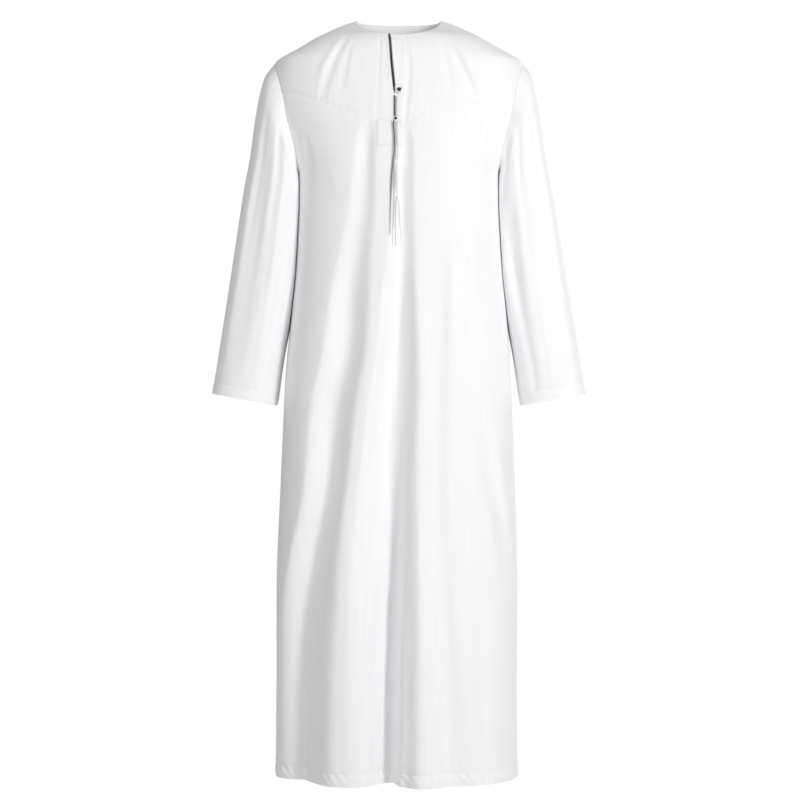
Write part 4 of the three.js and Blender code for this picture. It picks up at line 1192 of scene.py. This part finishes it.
def cuff_surface(sign):
    start = sleeve_form(LAST_STEP)

    def surface(u, v):
        form = [a + (b - a) * v for a, b in zip(start, CUFF_END)]
        angle = 360 * (u % 1.0)
        down = v * CUFF_LONG
        sink = seam_dip(down) + pucker(angle * DEGREE_MM, down, 13, 0.6, 9, -0.8)
        point = tube_point(form, radians(angle), sink - 0.4 * bump((v - 0.55) * 2))
        point.x *= sign
        return point, (360 * u * DEGREE_MM, -LAST_STEP * STEP_MM - down)

    return surface


for side, sign in SIDES:
    def middle_of_sleeve(point, sign=sign):
        return Vector((sign * (209 + (-161 - point.z) * 0.15), 0, point.z))

    sleeve = cloth_piece(
        f"sleeve_{side}_cloth", [(132, 120, sleeve_surface(sign))], WALL, middle_of_sleeve,
        shirting,
    )
    cut_piece(sleeve)
    cuff = cloth_piece(
        f"cuff_band_{side}_cloth", [(132, 8, cuff_surface(sign))], 2.4, middle_of_sleeve,
        turned_cloth, lip=2.0,
    )
    cut_piece(cuff)

# ---------- stitching
# Rows of white thread beside the yoke seams and round the placket, neck binding, cuffs and hem.
# Each stitch is a short grain of thread that sits a little proud of the cloth.
STITCH_PITCH = 3.4
STITCH_GRAIN = (1.15, 0.32, 0.28)  # half its length, width and height
STITCH_LIFT = 0.25


def stitch_rows(name, inside, rows):
    """Rows over cloth surfaces: each a surface, the share it keeps to, its way and its length."""
    bm = bmesh.new()
    for surface, kept, is_across, length in rows:
        def on_cloth(share, kept):
            return surface(share, kept)[0] if is_across else surface(kept, share)[0]

        count = round(length / STITCH_PITCH)
        for k in range(count):
            share = (k + 0.5) / count
            ahead = on_cloth((k + 0.9) / count, kept) - on_cloth((k + 0.1) / count, kept)
            beside = on_cloth(share, kept + 0.01) - on_cloth(share, kept - 0.01)
            out = ahead.cross(beside).normalized()
            middle = on_cloth(share, kept)
            if out.dot(middle - inside(middle)) < 0:
                out.negate()
            ahead.normalize()
            side = out.cross(ahead)
            grain = [axis * size for axis, size in zip((ahead, side, out), STITCH_GRAIN)]
            place = Matrix.Scale(MM, 4) @ Matrix.Translation(middle + out * STITCH_LIFT)
            place = place @ Matrix(grain).transposed().to_4x4()
            bmesh.ops.create_icosphere(bm, subdivisions=1, radius=1.0, matrix=place)
    piece = new_piece(name, bm, white_thread)


stitch_rows("yoke_seam_stitches", middle_of_body, [
    (body_surface(front_panel_place), 0.0031, True, 300),
    (front_yoke_surface("right", -1), 0.962, True, 190),
    (front_yoke_surface("left", 1), 0.962, True, 215),
    (body_surface(back_panel_place), 0.0033, True, 300),
    (body_surface(back_yoke_place), 0.965, True, 460),
])
stitch_rows("placket_stitches", middle_of_body, [
    *((placket_surface(side), 0.18, False, 150) for side, sign in SIDES),
    (body_surface(placket_end_place), 0.07, False, 45),
    (body_surface(placket_end_place), 0.93, False, 45),
    (body_surface(placket_end_place), 0.93, True, 44),
])
stitch_rows("neck_binding_stitches", under_binding, [(binding_surface, 0.08, True, 460)])
stitch_rows("hem_stitches", middle_of_body, [(body_surface(hem_place), 0.17, True, 1330)])
for side, sign in SIDES:
    def middle_of_cuff(point, sign=sign):
        return Vector((sign * 285, 0, point.z))

    stitch_rows(f"cuff_{side}_stitches", middle_of_cuff, [(cuff_surface(sign), 0.22, True, 390)])

# ---------- slit trims and loop
# A dark cord edges the right side of the slit and white piping its left side; a loop of white cord
# closes the foot of the slit round the knotted button.
TRIMS = (
    ("slit_cord", 3.0, dark_thread, "dark_cord", (
        (-17.4, -82.8, -25), (-16.3, -92.8, -38), (-14.9, -101.2, -58), (-13.5, -106.2, -78),
        (-10.5, -112, -108), (-8.5, -114.8, -125))),
    ("slit_piping", 2.0, white_thread, "white_cord", (
        (-13.1, -92.2, -33.5), (-12.7, -95, -38), (-11.3, -103, -58), (-9.7, -108, -78),
        (-6.8, -113.8, -108), (-4.4, -117.5, -130))),
    ("button_loop", 2.0, white_thread, "white_cord", (
        (-6.4, -120.6, -126.5), (-5.4, -120.2, -131), (-2.6, -119.8, -135.6), (0, -119.8, -137.6),
        (2.8, -119.8, -135.4), (5.4, -119.6, -131), (6.6, -118.6, -127))),
)
for name, diameter, material, slot, points in TRIMS:
    trim, length, path = twisted_cord(f"{name}_ply", points, diameter, material)
    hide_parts(name)
